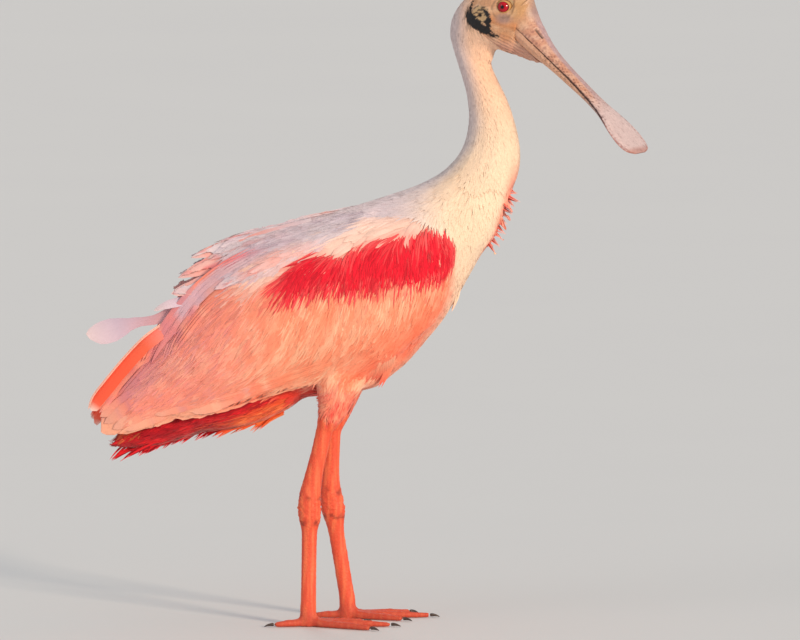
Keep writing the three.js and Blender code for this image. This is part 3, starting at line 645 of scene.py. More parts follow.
def leg_colour(p):
    z = p[:, 2] / MM
    crease = fade(1.0, 4.5, np.abs(z - 96)) + fade(1.0, 3.5, np.abs(z - 120 - 3 * ripple(p, 12, 32))) * 0.8
    return painted(LEG_RED, (LEG_ORANGE, ramp(-0.3, 0.7, ripple(p * [2.2, 2.2, 0.22], 9, 31))),
                   (LEG_DARK, np.clip(crease, 0, 1) * ramp(-0.4, 0.5, ripple(p, 6, 33)) * 0.7),
                   (rgb(176, 66, 50), fade(6, 22, z) * 0.55))


# Skin: the hull drawn in by the depth of the coat

def face_folds(p):
    """Height in millimetres of the rim and hole of the ear, cheek, jaw and throat."""
    h = local(HEAD_FRAME, p)
    flat = h[:, [0, 2]]
    x, z = flat.T
    return (0.55 * bell(np.hypot((x + 21.5) / 1.15, z + 9), 7.5, 1.6)
            - 1.6 * bell(np.hypot((x + 23.7) / 1.3, z + 10), 0, 1.6)
            + 0.7 * bell(line_distance(flat, CHEEK_FOLD), 0, 1.8)
            - 0.6 * bell(line_distance(flat, JAW_CREASE), 0, 1.3)
            + 0.3 * throat_fold(h, p) + 0.16 * ripple(p, 4.2, 41))


def leg_folds(p):
    """Height in millimetres of the wrinkles of the ankle and the flesh of the leg."""
    z = p[:, 2] / MM
    wrinkles = 0.35 * ripple(p, 7, 42) + 0.3 * np.sin(z * 1.9 + 2 * ripple(p, 9, 44))
    flesh = 0.9 * ramp(84, 100, z) * fade(180, 196, z)
    return ramp(92, 100, z) * fade(118, 128, z) * wrinkles + flesh + 0.1 * ripple(p * [1, 1, 2], 5, 43)


def build_skin(hull, finder, surface):
    mesh = hull.copy()
    fine = bmesh.new()
    fine.from_mesh(mesh)
    head_centre = Vector((0.118, 0.004, 0.560))
    edges = [e for e in fine.edges if (e.verts[0].co - head_centre).length < 0.052]
    bmesh.ops.subdivide_edges(fine, edges=edges, cuts=1, smooth=0.6, use_grid_fill=True)
    bmesh.ops.triangulate(fine, faces=[f for f in fine.faces if len(f.verts) > 4])
    fine.to_mesh(mesh)
    fine.free()
    points, normals = points_and_normals(mesh)
    faces = [tuple(f.vertices) for f in mesh.polygons]
    regions = region_of(points, finder)
    depth = np.array([COAT_DEPTH[r] for r in regions])
    depth[(regions == "body") & (points[:, 2] > 0.43)] = COAT_DEPTH["neck"]
    tree = BVHTree.FromPolygons(points.tolist(), faces)
    for i in np.nonzero(depth > 0)[0]:
        inward = Vector(-normals[i])
        through = tree.ray_cast(Vector(points[i]) + inward * 0.05 * MM, inward, 0.02)[3]
        if through is not None:
            depth[i] = min(depth[i], 0.36 * through / MM)
    bare = regions == "bare"
    face = bare & (points[:, 2] > 0.4)
    leg = bare & ~face
    folds = face * face_folds(points) + leg * leg_folds(points)
    points = points + normals * ((folds - SWELL * bare - depth)[:, None] * MM)
    points[:, 2] = np.maximum(points[:, 2], 0.0)
    colours = np.where(points[:, 2:] > 0.4, face_colour(points), leg_colour(points))
    for name, colour in REGION_COLOUR.items():
        chosen = regions == name
        colours[chosen] = colour(points[chosen]) * 0.96
    faces = [np.array([f for f in faces if len(f) == corners]) for corners in (4, 3)]
    parts, tints = [points], [colours]
    for side in SIDES.values():
        lids, quads, tint = build_lids(side, surface)
        faces.insert(-1, quads + sum(len(p) for p in parts))
        parts.append(lids)
        tints.append(tint)
    skin = new_mesh("skin", np.concatenate(parts), [f for f in faces if len(f)])
    set_colour(skin, np.concatenate(tints))
    marks = np.zeros(len(skin.vertices), np.float32)
    marks[:len(points)] = leg
    set_attribute(skin, "leg", "FLOAT", "POINT", marks)
    return skin


# Feathers

# Cross-sections: places across the vane from -1 to 1 with their heights, in order round the section
SLIVER = [(-1, 0), (0, 1), (1, 0)]
LENS = [(-1, 0), (0, 1), (1, 0), (0, -0.6)]
VANE = [(-1, 0), (-0.5, 0.7), (0, 1), (0.5, 0.7), (1, 0), (0, -0.6)]
QUILL = [(-1, 0), (-0.6, 0.5), (-0.2, 0.7), (-0.05, 0.8), (0, 1.9), (0.05, 0.8), (0.2, 0.7), (0.6, 0.5),
         (1, 0),
         (0.5, -0.5), (0, -0.9), (-0.5, -0.5)]
ROUNDNESS = 0.3  # how far a vane's shading leans out towards its rims


class Coat:
    """Collects feathers and turns them into one mesh."""

    def __init__(self, name):
        self.name = name
        self.count = 0
        self.parts = defaultdict(list)

    def joined(self, *kinds):
        return np.concatenate([part for kind in kinds for part in self.parts[kind]])

    def add(self, spine, normals, half, thick, section, colours, root_map, droop, rng, fray):
        """Feathers from spines (n, s, 3). half and thick (n, s) are sizes in metres, colours (n, s, 3)."""
        n, s, _ = spine.shape
        rings = s - 1
        section = np.array(section, float)
        c = len(section)
        per = rings * c + 1

        def with_tip(rows, tip):
            """What belongs to the rings of each feather, with the tip's own after it."""
            return np.concatenate([rows[:, :rings].reshape(n, rings * c, -1), tip], 1)

        along = unit(np.gradient(spine, axis=1))
        across = unit(np.cross(normals, along))
        flat_up = np.cross(along, across)
        wide, tall = section.T[:, None, None, :, None]
        width = np.repeat(half[..., None], c, 2)
        if fray > 0:
            edge = np.abs(section[:, 0]) > 0.9
            width[:, :, edge] *= 1 + rng.uniform(-fray, fray * 0.4, (n, s, edge.sum()))
        up = tall * thick[:, :, None, None] - wide ** 2 * droop * half[:, :, None, None]
        body = spine[:, :, None] + across[:, :, None] * wide * width[..., None] + flat_up[:, :, None] * up
        lean = across[:, :, None] * wide * ROUNDNESS
        above = with_tip(unit(unit(flat_up * 0.5 + normals * 0.5)[:, :, None] + lean), flat_up[:, -1:])
        below = with_tip(unit(-flat_up[:, :, None] + lean), -flat_up[:, -1:])
        start = self.count + np.arange(n)[:, None, None] * per
        k = np.arange(c)
        after = (k + 1) % c
        facing_up = (section[k, 1] + section[after, 1] > 0)[None, :, None, None]
        faces = [("quads", np.stack([r * c + k, (r + 1) * c + k, (r + 1) * c + after, r * c + after], 1))
                 for r in range(rings - 1)]
        faces.append(("tris",
                      np.stack([(rings - 1) * c + k, np.full(c, per - 1), (rings - 1) * c + after], 1)))
        for kind, corners in faces:
            self.parts[kind].append((start + corners).reshape(-1, corners.shape[1]))
            shade = np.where(facing_up, above[:, corners], below[:, corners])
            self.parts[kind + " normals"].append(shade.reshape(-1, 3))
        u = np.broadcast_to((section[:, 0] + 1) / 2, (n, rings, c))
        v = np.broadcast_to((np.arange(rings) / rings)[None, :, None], (n, rings, c))
        flat = with_tip(np.stack([u, v], -1), np.broadcast_to([[[0.5, 1.0]]], (n, 1, 2))).reshape(-1, 2)
        tints = with_tip(np.repeat(colours[:, :, None], c, 2), colours[:, -1:])
        rim = np.where(section[:, 1] == 0, np.where(section[:, 0] < 0, 1, 2), 0)
        for kind, part in (("points", with_tip(body, spine[:, -1:]).reshape(-1, 3)),
                           ("colours", tints.reshape(-1, 3)), ("vane", flat),
                           ("patches", np.repeat(root_map, per, 0)),
                           ("rims", np.tile(np.append(np.tile(rim, rings), 3), n))):
            self.parts[kind].append(part)
        self.count += n * per

    def piece(self, material, replaced=()):
        roots, vane = self.joined("patches"), self.joined("vane")
        low, high = roots.min(0), roots.max(0)
        place = 0.01 + 0.98 * (roots - low) / np.maximum(high - low, 1e-6)
        mesh = new_mesh(self.name, self.joined("points"), [self.joined("quads"), self.joined("tris")])
        set_colour(mesh, self.joined("colours"))
        set_attribute(mesh, "sharp_edge", "BOOLEAN", "EDGE", sharp_rims(mesh, self.joined("rims")))
        shading = self.joined("quads normals", "tris normals").astype(np.float32)
        set_attribute(mesh, "custom_normal", "FLOAT_VECTOR", "CORNER", shading)
        set_map(mesh, "OFBake", np.clip(place + (vane - 0.5) * BAKE_PATCH, 0, 1))
        set_map(mesh, "Vane", vane)
        finish_piece(self.name, mesh, material, replaced)


def scatter(surface, mask, spacing, rng):
    """Evenly spread places on the faces that the mask allows: points and face numbers."""
    faces = np.nonzero(mask)[0]
    corners = np.array([(f[0], f[1], f[2], f[-1]) for f in (surface.faces[i] for i in faces)])
    first, second, third, fourth = surface.points[corners.T]
    area = 0.5 * np.maximum(np.linalg.norm(np.cross(third - first, fourth - second), axis=1),
                            np.linalg.norm(np.cross(second - first, third - first), axis=1))
    step = spacing * MM
    count = int(area.sum() / step ** 2 * 2.6)
    chosen = rng.choice(len(faces), count, p=area / area.sum())
    u, v = rng.random((2, count, 1))
    low = first[chosen] * (1 - u) + second[chosen] * u
    high = fourth[chosen] * (1 - u) + third[chosen] * u
    points = low * (1 - v) + high * v
    cell = np.floor(points / (step * 1.12)).astype(np.int64)
    key = (cell[:, 0] * 7919 + cell[:, 1]) * 7919 + cell[:, 2]
    kept = np.unique(key, return_index=True)[1]
    return points[kept], faces[chosen[kept]]


def lay(surface, roots, normals, length, steps, turn, reach, grip=3.0):
    """Spines that run from the roots with the lie of the plumage, hugging the surface.

    Past the end of the surface they go straight on, their steps shortened to the share given by reach.
    Also gives the share of each spine that lies on the surface.
    """
    n = len(roots)
    spine = np.empty((n, steps + 1, 3))
    facing = np.empty((n, steps + 1, 3))
    spine[:, 0], facing[:, 0] = roots, normals
    heading = None
    loose = np.zeros(n, bool)
    held = np.ones(n)
    for k in range(steps):
        here, up = spine[:, k], facing[:, k]
        wanted = lie(here)
        wanted = wanted - up * (wanted * up).sum(1, keepdims=True)
        short = np.linalg.norm(wanted, axis=1) < 0.25
        wanted = unit(wanted)
        if heading is not None:
            carried = unit(heading - up * (heading * up).sum(1, keepdims=True))
            wanted = unit(wanted * 0.6 + carried * 0.4)
            wanted[short] = carried[short]
        heading = unit(wanted + np.cross(up, wanted) * turn)
        pace = np.where(loose, reach, 1.0) * length / steps
        step = here + heading * pace[:, None]
        place, up_there, gap = surface.nearest(step)
        ended = (gap > grip * MM) | ((up_there * up).sum(1) < 0.35) | ((up_there * normals).sum(1) < 0.2)
        held[ended & ~loose] = k / steps
        loose |= ended
        spine[:, k + 1] = np.where(loose[:, None], step, place)
        facing[:, k + 1] = np.where(loose[:, None], up, unit(up_there * 0.7 + up * 0.3))
    return spine, facing, held


def shaped(half, steps, root=0.55, bulge=0.35, end=0.35):
    """Half widths along a feather: narrow root, widest at bulge, rounded end."""
    s = np.linspace(0, 1, steps + 1)
    taper = np.maximum(1 - ((s - bulge) / (1 - bulge)).clip(0) ** 2.4, 0) ** end
    return half[:, None] * ((root + (1 - root) * ramp(0, bulge, s)) * taper)[None, :]


def along_spines(colour, spine):
    """What a colour function says at every point of the spines."""
    return colour(spine.reshape(-1, 3)).reshape(spine.shape)


def tinted(colour, spine, rng, dark_root=0.92, pale_tip=1.03, spread=0.05, own=0.35):
    """Colours along each feather, a share of them its root's own, each feather a little lighter or darker."""
    base = along_spines(colour, spine)
    base = base[:, :1] * own + base * (1 - own)
    base = base * rng.normal(1, spread, (len(spine), 1, 1)).clip(0.75, 1.25)
    s = np.linspace(0, 1, spine.shape[1])[None, :, None]
    return np.clip(base * (dark_root + (pale_tip - dark_root) * s ** 0.7), 0, 1)


SHORTEST = 0.5  # feathers cut shorter than this share by the end of the surface are left out


def grow(coat, surface, mask, colour, spacing, length, half, thick, section, steps, seed, depth, tip=0.4,
         sway=0.12, reach=0.12, droop=0.0, fray=0.0, keep=None, **tint):
    """Feathers over a region of the surface. length and half are (least, most) in millimetres.

    depth is how far the roots are sunk, and tip the most by which the tips stand off.
    """
    rng = random(seed)
    roots, faces = scatter(surface, mask, spacing, rng)
    normals = surface.face_normals[faces]
    kept = np.abs((lie(roots) * normals).sum(1)) < 0.92
    if keep is not None:
        kept &= keep(roots, rng)
    roots, normals = roots[kept], normals[kept]
    longs = rng.uniform(*length, len(roots)) * MM
    turn = rng.normal(0, sway, (len(roots), 1))
    held = lay(surface, roots, normals, longs, steps, turn, reach)[2]
    longs = longs * (held + reach * (1 - held))
    kept = longs > SHORTEST * length[0] * MM
    roots, normals, longs, turn = roots[kept], normals[kept], longs[kept], turn[kept]
    n = len(roots)
    spine, facing, _ = lay(surface, roots, normals, longs, steps, turn, 1.0)
    share = np.linspace(0, 1, steps + 1)[None, :, None] ** 0.6
    lift = rng.uniform(-0.3, 1.0, (n, 1, 1)) * tip * share - depth * (1 - share)
    spine = spine + facing * lift * MM
    widths = shaped(rng.uniform(*half, n) * MM, steps)
    thicks = np.repeat(np.linspace(1, 0.4, steps + 1)[None], n, 0) * thick * MM
    coat.add(spine, facing, widths, thicks, section, tinted(colour, spine, rng, **tint), unwrapped(roots),
             droop, rng, fray)


# Materials

def new_material(name):
    made = bpy.data.materials.new(name)
    made.use_nodes = True
    return made, made.node_tree, made.node_tree.nodes["Principled BSDF"]


def fill(tree, node, inputs):
    """Sets inputs of a node, each to a value or to the socket that feeds it."""
    for name, value in inputs.items():
        if isinstance(value, bpy.types.NodeSocket):
            tree.links.new(value, node.inputs[name])
        else:
            node.inputs[name].default_value = value


def add_node(tree, kind, inputs, **settings):
    node = tree.nodes.new("ShaderNode" + kind)
    for name, value in settings.items():
        setattr(node, name, value)
    fill(tree, node, inputs)
    return node


def math_node(tree, operation, *values):
    return add_node(tree, "Math", dict(enumerate(values)), operation=operation).outputs[0]


def object_vector(tree, stretch=(1, 1, 1)):
    place = add_node(tree, "TexCoord", {}).outputs["Object"]
    return add_node(tree, "Mapping", {"Vector": place, "Scale": stretch}).outputs["Vector"]


def noise(tree, scale, detail, stretch=(1, 1, 1)):
    inputs = {"Scale": scale, "Detail": detail, "Vector": object_vector(tree, stretch)}
    return add_node(tree, "TexNoise", inputs).outputs["Fac"]


def bump(tree, height, distance, strength, **others):
    inputs = {"Height": height, "Distance": distance, "Strength": strength, **others}
    return add_node(tree, "Bump", inputs).outputs["Normal"]


def shaded(tree, colour, *factors):
    """The colour made lighter or darker by factors of 0 to 1, each given with its (low, high)."""
    for factor, low, high in factors:
        scale = add_node(tree, "MapRange", {"Value": factor, "To Min": low, "To Max": high}).outputs["Result"]
        colour = add_node(tree, "VectorMath", {0: colour, "Scale": scale},
                          operation="SCALE").outputs["Vector"]
    return colour


def tint(tree):
    return add_node(tree, "VertexColor", {}, layer_name="Tint").outputs["Color"]


def mixed(tree, factor, first, second):
    inputs = {"Factor": factor, "A": (*first, 1), "B": (*second, 1)}
    return add_node(tree, "Mix", inputs, data_type="RGBA").outputs["Result"]


def feather_material(name, barbs, roughness, sheen):
    """Feather with barbs that run out and forward from the shaft."""
    material, tree, shader = new_material(name)
    place = add_node(tree, "UVMap", {}, uv_map="Vane").outputs["UV"]
    parts = add_node(tree, "SeparateXYZ", {0: place})
    out = math_node(tree, "ABSOLUTE", math_node(tree, "SUBTRACT", parts.outputs["X"], 0.5))
    phase = math_node(tree, "SUBTRACT", parts.outputs["Y"], math_node(tree, "MULTIPLY", out, 0.35))
    wave = math_node(tree, "SINE", math_node(tree, "MULTIPLY", phase, barbs))
    wave = math_node(tree, "MULTIPLY_ADD", wave, 0.5, 0.5)
    colour = shaded(tree, tint(tree), (wave, 0.93, 1.04), (noise(tree, 900, 2), 0.86, 1.12),
                    (noise(tree, 45, 3), 0.9, 1.1))
    fill(tree, shader, {
        "Base Color": colour, "Roughness": roughness, "Specular IOR Level": 0.25, "Sheen Weight": sheen,
        "Sheen Roughness": 0.45, "Sheen Tint": (1.0, 0.86, 0.8, 1), "Normal": bump(tree, wave, 0.00012, 0.6)})
    return material


def skin_material():
    material, tree, shader = new_material("bare_skin")
    pores = noise(tree, 1300, 4)
    wrinkles = noise(tree, 420, 5, (1, 1, 1.6))
    scales = add_node(tree, "TexVoronoi", {"Scale": 420, "Vector": object_vector(tree, (1, 1, 0.75))},
                      feature="DISTANCE_TO_EDGE").outputs["Distance"]
    leg = add_node(tree, "Attribute", {}, attribute_name="leg").outputs["Fac"]
    grooves = math_node(tree, "MINIMUM", math_node(tree, "MULTIPLY", scales, 9.0), 1.0)
    soft = bump(tree, math_node(tree, "MULTIPLY_ADD", pores, 0.35, wrinkles), 0.0005, 0.7)
    fill(tree, shader, {
        "Base Color": shaded(tree, tint(tree), (pores, 0.82, 1.18), (wrinkles, 0.88, 1.1)),
        "Roughness": 0.52, "Specular IOR Level": 0.4,
        "Normal": bump(tree, math_node(tree, "MULTIPLY", grooves, leg), 0.0004, 0.5, Normal=soft)})
    return material


def bill_material():
    material, tree, shader = new_material("bill_horn")
    pits = noise(tree, 520, 4)
    fill(tree, shader, {
        "Base Color": shaded(tree, tint(tree), (pits, 0.72, 1.25), (noise(tree, 120, 4), 0.88, 1.12)),
        "Roughness": 0.42, "Specular IOR Level": 0.45, "Normal": bump(tree, pits, 0.0005, 0.6)})
    return material


def claw_material():
    material, tree, shader = new_material("claw_horn")
    grain = noise(tree, 300, 4, (1, 1, 3))
    fill(tree, shader, {
        "Base Color": mixed(tree, grain, (0.012, 0.008, 0.007), (0.09, 0.055, 0.045)),
        "Roughness": 0.35, "Normal": bump(tree, grain, 0.0003, 0.5)})
    return material


def eye_material():
    material, tree, shader = new_material("eye_wet")
    fill(tree, shader, {
        "Base Color": shaded(tree, tint(tree), (noise(tree, 1500, 3), 0.8, 1.2)), "Roughness": 0.18,
        "Specular IOR Level": 0.3, "Coat Weight": 0.25, "Coat Roughness": 0.04})
    return material


# Bill: half ovals along its length, with a rim, a nostril and a ridged mouth edge

# Distance from the corner of the mouth, height of the culmen or depth of the lower half, half width
UPPER_BILL = line_of(
    (-9, 27, 14.6), (7, 18, 13.6), (22, 12, 12.2), (40, 7.2, 10.6), (60, 5.4, 9.4), (80, 5, 9.2),
    (98, 4.4, 10.6),
    (112, 3.8, 14.4), (124, 3.3, 20), (136, 2.9, 24.8), (147, 2.6, 26.6), (156, 2.4, 25.6),
    (162.5, 2.1, 20.5),
    (BILL_LENGTH, 1.6, 10))
LOWER_BILL = line_of(
    (-3, 13.6, 13.4), (12, 13, 13.0), (28, 11.8, 11.6), (42, 10, 10), (56, 8.6, 9), (72, 7.6, 8.6),
    (90, 6.2, 9.2),
    (106, 5.4, 11.8), (120, 4.6, 17), (134, 3.6, 22.6), (146, 2.8, 25), (155, 2.2, 23.2), (161.5, 1.8, 18.5),
    (BILL_LENGTH - 1, 1.2, 8.5))
NOSTRIL = line_of((16.0, 10.9), (25.4, 9.4))  # ends of the slit: distance and height


def smooth_rows(rows, share):
    """Values on a smooth curve through evenly spaced rows, at shares of 0 to 1."""
    table = np.array(rows, float)
    table = np.vstack([2 * table[0] - table[1], table, 2 * table[-1] - table[-2]])
    last = len(rows) - 1
    t = np.clip(share, 0, 1) * last
    i = np.minimum(t.astype(int), last - 1)
    f = (t - i)[:, None]
    a, b, c, d = (table[i + k] for k in range(4))
    return 0.5 * (2 * b + (c - a) * f + (2 * a - 5 * b + 4 * c - d) * f ** 2 + (3 * b - a - 3 * c + d)
                  * f ** 3)


def bill_colour(q, upper):
    """Colour at points of the bill in its own frame."""
    s, side, h = q[:, 0], np.abs(q[:, 1]), np.abs(q[:, 2])
    p = q * MM
    spoon = ramp(84, 122, s)
    if upper:
        culmen = fade(0.25, 0.6, side / np.maximum(np.interp(s, UPPER_BILL[:, 0], UPPER_BILL[:, 2]), 1))
        own = ((rgb(168, 150, 164), culmen * (1 - spoon) * 0.6),
               (rgb(150, 126, 140), fade(2, 14, s) * ramp(12, 18, h) * 0.6))
    else:
        # The lower bill's own paler peach, laid on strongly as painted light that lifts the shade of its downward
        # face
        own = ((rgb(232, 178, 144), (1 - spoon) * 0.7), (rgb(150, 120, 126), spoon * 0.5))
    uneven = h + 0.35 * ripple(p, 5, 53)
    mouth = fade(0.4, 1.4, uneven / (0.4 + 0.8 * ramp(20, 80, s))) * ramp(6, 18, s) * fade(120, 138, s)
    specks = ramp(0.45, 0.75, ripple(p, 2.4, 54)) * fade(3, 6.5, h) * ramp(16, 50, s) * fade(104, 122, s)
    return painted(
        rgb(196, 142, 118), (rgb(208, 164, 142), ramp(-0.4, 0.6, ripple(p, 9, 51))),
        (rgb(150, 96, 88), ramp(0.2, 0.8, ripple(p, 3.4, 52)) * fade(30, 90, s) * 0.6),
        (rgb(210, 188, 188), spoon * 0.9),
        (rgb(150, 118, 116), ramp(0.75, 1.0, ripple(p, 5, 55)) * spoon * 0.4),
        *own,
        (rgb(136, 62, 50), fade(0.5, 1.4, uneven) * ramp(108, 126, s) * 0.65),
        (rgb(62, 28, 25), mouth * 0.95), (rgb(92, 50, 44), specks * 0.65),
        (rgb(168, 104, 88), ramp(158, 164, s) * 0.6),
        (rgb(200, 120, 60), fade(-4, 9, s) * fade(3, 9, h) * 0.5))


def build_bill(name, rows, upper, material):
    rings, steps = 230, 44
    s, tall, half = smooth_rows(rows, np.linspace(0, 1, rings + 1)).T[..., None]
    turn = np.linspace(0, math.pi, steps + 1)
    across, high = np.cos(turn), np.sin(turn)
    q = np.stack([s * np.ones(steps + 1), half * across, 0.15 + tall * high], -1)
    spoon = ramp(100, 125, s)
    relief = (0.35 * (1 - spoon) * bell(high, 0.35, 0.08) - 0.55 * spoon * bell(np.abs(across), 0.82, 0.07)
              + 0.16 * np.sin(s * 2 * math.pi / 2.6) * bell(high, 0, 0.14) * ramp(30, 60, s))
    dark = np.zeros((rings + 1, 2 * steps))
    if upper:
        gap = line_distance(q[..., [0, 2]].reshape(-1, 2), NOSTRIL).reshape(relief.shape)
        outside = np.abs(q[..., 1]) > 2
        relief = relief + (0.35 * bell(gap, 1.7, 0.7) - 1.5 * bell(gap, 0, 0.75)) * outside
        dark[:, :steps + 1] = bell(gap, 0, 0.6) * outside
    out = unit(np.stack([np.zeros_like(relief), across * tall, high * half], -1))
    q = q + out * relief[..., None]
    under = np.stack(np.broadcast_arrays(s, half * 0.98 * across[-2:0:-1], 0.15), -1)
    ring = np.concatenate([q, under], 1)
    count = ring.shape[1]
    ring[..., 2] *= 1 if upper else -1
    flat = ring.reshape(-1, 3)
    into_face = fade(-2, 15 if upper else 10, flat[:, 0]) * 0.9
    colours = painted(bill_colour(flat, upper), (face_colour(placed(BILL_FRAME, flat)), into_face),
                      (rgb(40, 20, 18), dark.ravel()))
    ring[..., 2] -= BILL_SAG * ramp(112, BILL_LENGTH + 6, s)
    points = placed(BILL_FRAME, ring.reshape(-1, 3))
    points = np.concatenate([points, [points[:count].mean(0), points[-count:].mean(0)]])
    k = np.arange(count)
    after = (k + 1) % count
    last = rings * count
    caps = np.concatenate([np.stack([after, k, np.full(count, last + count)], 1),
                           np.stack([last + k, last + after, np.full(count, last + count + 1)], 1)])
    faces = [ring_quads(rings, count), caps]
    if upper:
        faces = [f[:, ::-1] for f in faces]
    mesh = new_mesh(name, points, faces)
    set_colour(mesh, np.concatenate([colours, colours[:1], colours[-1:]]))
    finish_piece(name, mesh, material, ["bill_upper" if upper else "bill_lower"])


# Eyes and lids

def eye_frame(side):
    """Place of an eyeball, with its local Z out of the head and a little forward."""
    out = Vector((0.16, side, 0.02)).normalized()
    across = Vector((0, 0, 1)).cross(out).normalized()
    turn = Matrix((across, out.cross(across), out)).transposed().to_4x4()
    return HEAD_FRAME @ Matrix.Translation(Vector((EYE_SHIFT[0], side * EYE_SPREAD, EYE_SHIFT[1]))
                                           * MM) @ turn


def build_eye(name, side, material):
    rings, steps = 40, 64
    angle = np.linspace(0, math.pi, rings + 1)[1:, None]
    turn = np.linspace(0, 2 * math.pi, steps, endpoint=False)
    r = EYE_RADIUS * (1 + 0.06 * bell(angle, 0, 0.55))
    q = np.stack(np.broadcast_arrays(r * np.sin(angle) * np.cos(turn), r * np.sin(angle) * np.sin(turn),
                                     r * np.cos(angle)), -1).reshape(-1, 3)
    q = np.concatenate([[[0, 0, r[0, 0]]], q])
    k = np.arange(steps)
    fan = np.stack([np.zeros(steps, int), 1 + k, 1 + (k + 1) % steps], 1)
    mesh = new_mesh(name, placed(eye_frame(side), q), [ring_quads(rings - 1, steps, 1)[:, ::-1], fan])
    away = np.hypot(q[:, 0], q[:, 1])
    rays = 0.5 + 0.5 * np.sin(np.arctan2(q[:, 1], q[:, 0]) * 26)
    iris = painted(rgb(168, 2, 26), (rgb(204, 12, 36), rays * 0.6 * ramp(1.8, 4.6, away)),
                   (rgb(84, 0, 12), ramp(4.2, 5.3, away)), (rgb(4, 2, 3), fade(1.6, 1.9, away)))
    set_colour(mesh, np.where(q[:, 2:] > 0, iris, rgb(200, 190, 180)))
    finish_piece(f"eyeball_{name}", mesh, material, [f"eye_{name}"])


def build_lids(side, surface):
    """Fleshy ring round the eye, from the eyeball out to the face: points, faces and colours."""
    steps, rings = 96, 14
    turn = np.linspace(0, 2 * math.pi, steps, endpoint=False)
    round_eye = np.stack([np.cos(turn), np.sin(turn)], 1)
    share = np.linspace(0, 1, rings + 1)
    t = share[:, None]
    eye = eye_frame(side)
    flat = round_eye * [5.55, 4.75] * (1 - t[..., None]) + round_eye * [10.4, 9.6] * t[..., None]
    r = np.minimum(np.linalg.norm(flat, axis=-1), EYE_RADIUS - 0.1)
    points = np.concatenate([flat, np.sqrt(EYE_RADIUS ** 2 - r ** 2)[..., None]], -1)
    face = local(eye, surface.nearest(placed(eye, points.reshape(-1, 3)))[0]).reshape(points.shape)
    settle = ramp(0.25, 1.0, t)
    fold = 0.55 * bell(t, 0.16, 0.13) + 0.5 * bell(t, 0.52, 0.09) - 0.25 * bell(t, 0.36, 0.06)
    fold = fold * (1 + 0.18 * np.sin(turn * 11 + 3 * t) + 0.12 * np.sin(turn * 23))
    points[..., 2] = (points[..., 2] + 0.15) * (1 - settle) + (face[..., 2] - 0.9
                                                               * ramp(0.75, 1, t)) * settle + fold
    tuck = points[:1] * [1.04, 1.04, 1] - [0, 0, 1.6]
    points = np.concatenate([tuck, points])
    shares = np.concatenate([[0], share])
    crease = bell(shares, 0.36, 0.07) * 0.6 + bell(shares, 0, 0.05) * 0.7
    rows = painted(rgb(196, 146, 88), (rgb(172, 146, 112), ramp(0.2, 0.9, shares)), (rgb(96, 58, 40), crease))
    quads = ring_quads(len(points) - 1, steps)[:, ::-1]
    return placed(eye, points.reshape(-1, 3)), quads, np.repeat(rows, steps, 0)


# Long feathers that are placed one by one

def long_feathers(coat, paths, widths, colour, seed, facing, steps=26, thick=0.5, droop=0.12, lifts=0.0,
                  end=0.3,
                  section=QUILL, notches=3, rise=0.0):
    """Blades along smooth paths of points in millimetres. widths are half widths along each path.

    rise is how much deeper than its tip a blade starts.
    """
    rng = random(seed)
    share = np.linspace(0, 1, steps + 1)
    spines, halves = [], []
    for path, width in zip(paths, widths):
        spines.append(smooth_rows(path, share) * MM)
        row = smooth_rows(np.array(width)[:, None], share)[:, 0] * np.maximum(1 - share ** 9, 0) ** end
        for place in rng.uniform(0.3, 0.92, notches):
            row = row * (1 - rng.uniform(0.04, 0.16) * bell(share, place, 0.012))
        halves.append(row * MM)
    spine, half = np.array(spines), np.array(halves)
    up = np.broadcast_to(np.asarray(facing, float).reshape(-1, 1, 3), spine.shape)
    along = unit(np.gradient(spine, axis=1))
    up = unit(up - along * (up * along).sum(-1, keepdims=True))
    sunk = rise * fade(0.35, 0.85, share)[None, :, None]
    spine = spine + up * (np.reshape(lifts, (-1, 1, 1)) - sunk) * MM
    tall = np.repeat(np.linspace(1, 0.35, steps + 1)[None], len(spine), 0) * thick * MM
    coat.add(spine, up, half, tall, section, colour(spine, share), unwrapped(spine[:, 0]), droop, rng, 0.05)


def along_colour(*stops):
    """Colours along a feather from (share, colour) stops, with a little variety between feathers."""
    places = [s for s, _ in stops]
    table = np.array([c for _, c in stops])

    def colour(spine, share):
        row = np.stack([np.interp(share, places, table[:, i]) for i in range(3)], 1)
        light = 1 + 0.08 * ripple(spine[:, 0], 13, 61)
        return np.clip(row[None] * light[:, None, None], 0, 1)
    return colour


def wing_depth(surface):
    """How far out the right wing's outer face lies at a place in the side view, in millimetres."""
    def depth(x, z):
        place = surface.tree.ray_cast(Vector((x * MM, -0.2, z * MM)), Vector((0, 1, 0)), 0.3)[0]
        if place is None or place.y > (MIDDLE - 12) * MM:
            place = surface.tree.find_nearest(Vector((x * MM, -0.02, z * MM)))[0]
        return MIDDLE - place.y / MM
    return depth


def over_wing(rows, side, surface):
    """Paths over the wing's outer face from rows of [x, z] points in the side view."""
    depth = wing_depth(surface)
    return [[(x, MIDDLE + side * depth(x, z), z) for x, z in row] for row in rows]


# Flight feathers of the folded wing that show past the coverts: root, middle and tip in the side view, half width
QUILLS = [
    ((-150, 256), (-198, 222), (-245, 193), 8.5), ((-150, 248), (-196, 215), (-241, 187), 9.0),
    ((-148, 238), (-190, 207), (-233, 182), 9.0), ((-146, 228), (-184, 202), (-222, 181), 8.0),
    ((-128, 226), (-160, 210), (-194, 196), 7.0), ((-104, 232), (-130, 213), (-160, 199), 9.0),
    ((-96, 230), (-120, 216), (-146, 203), 7.0),
]

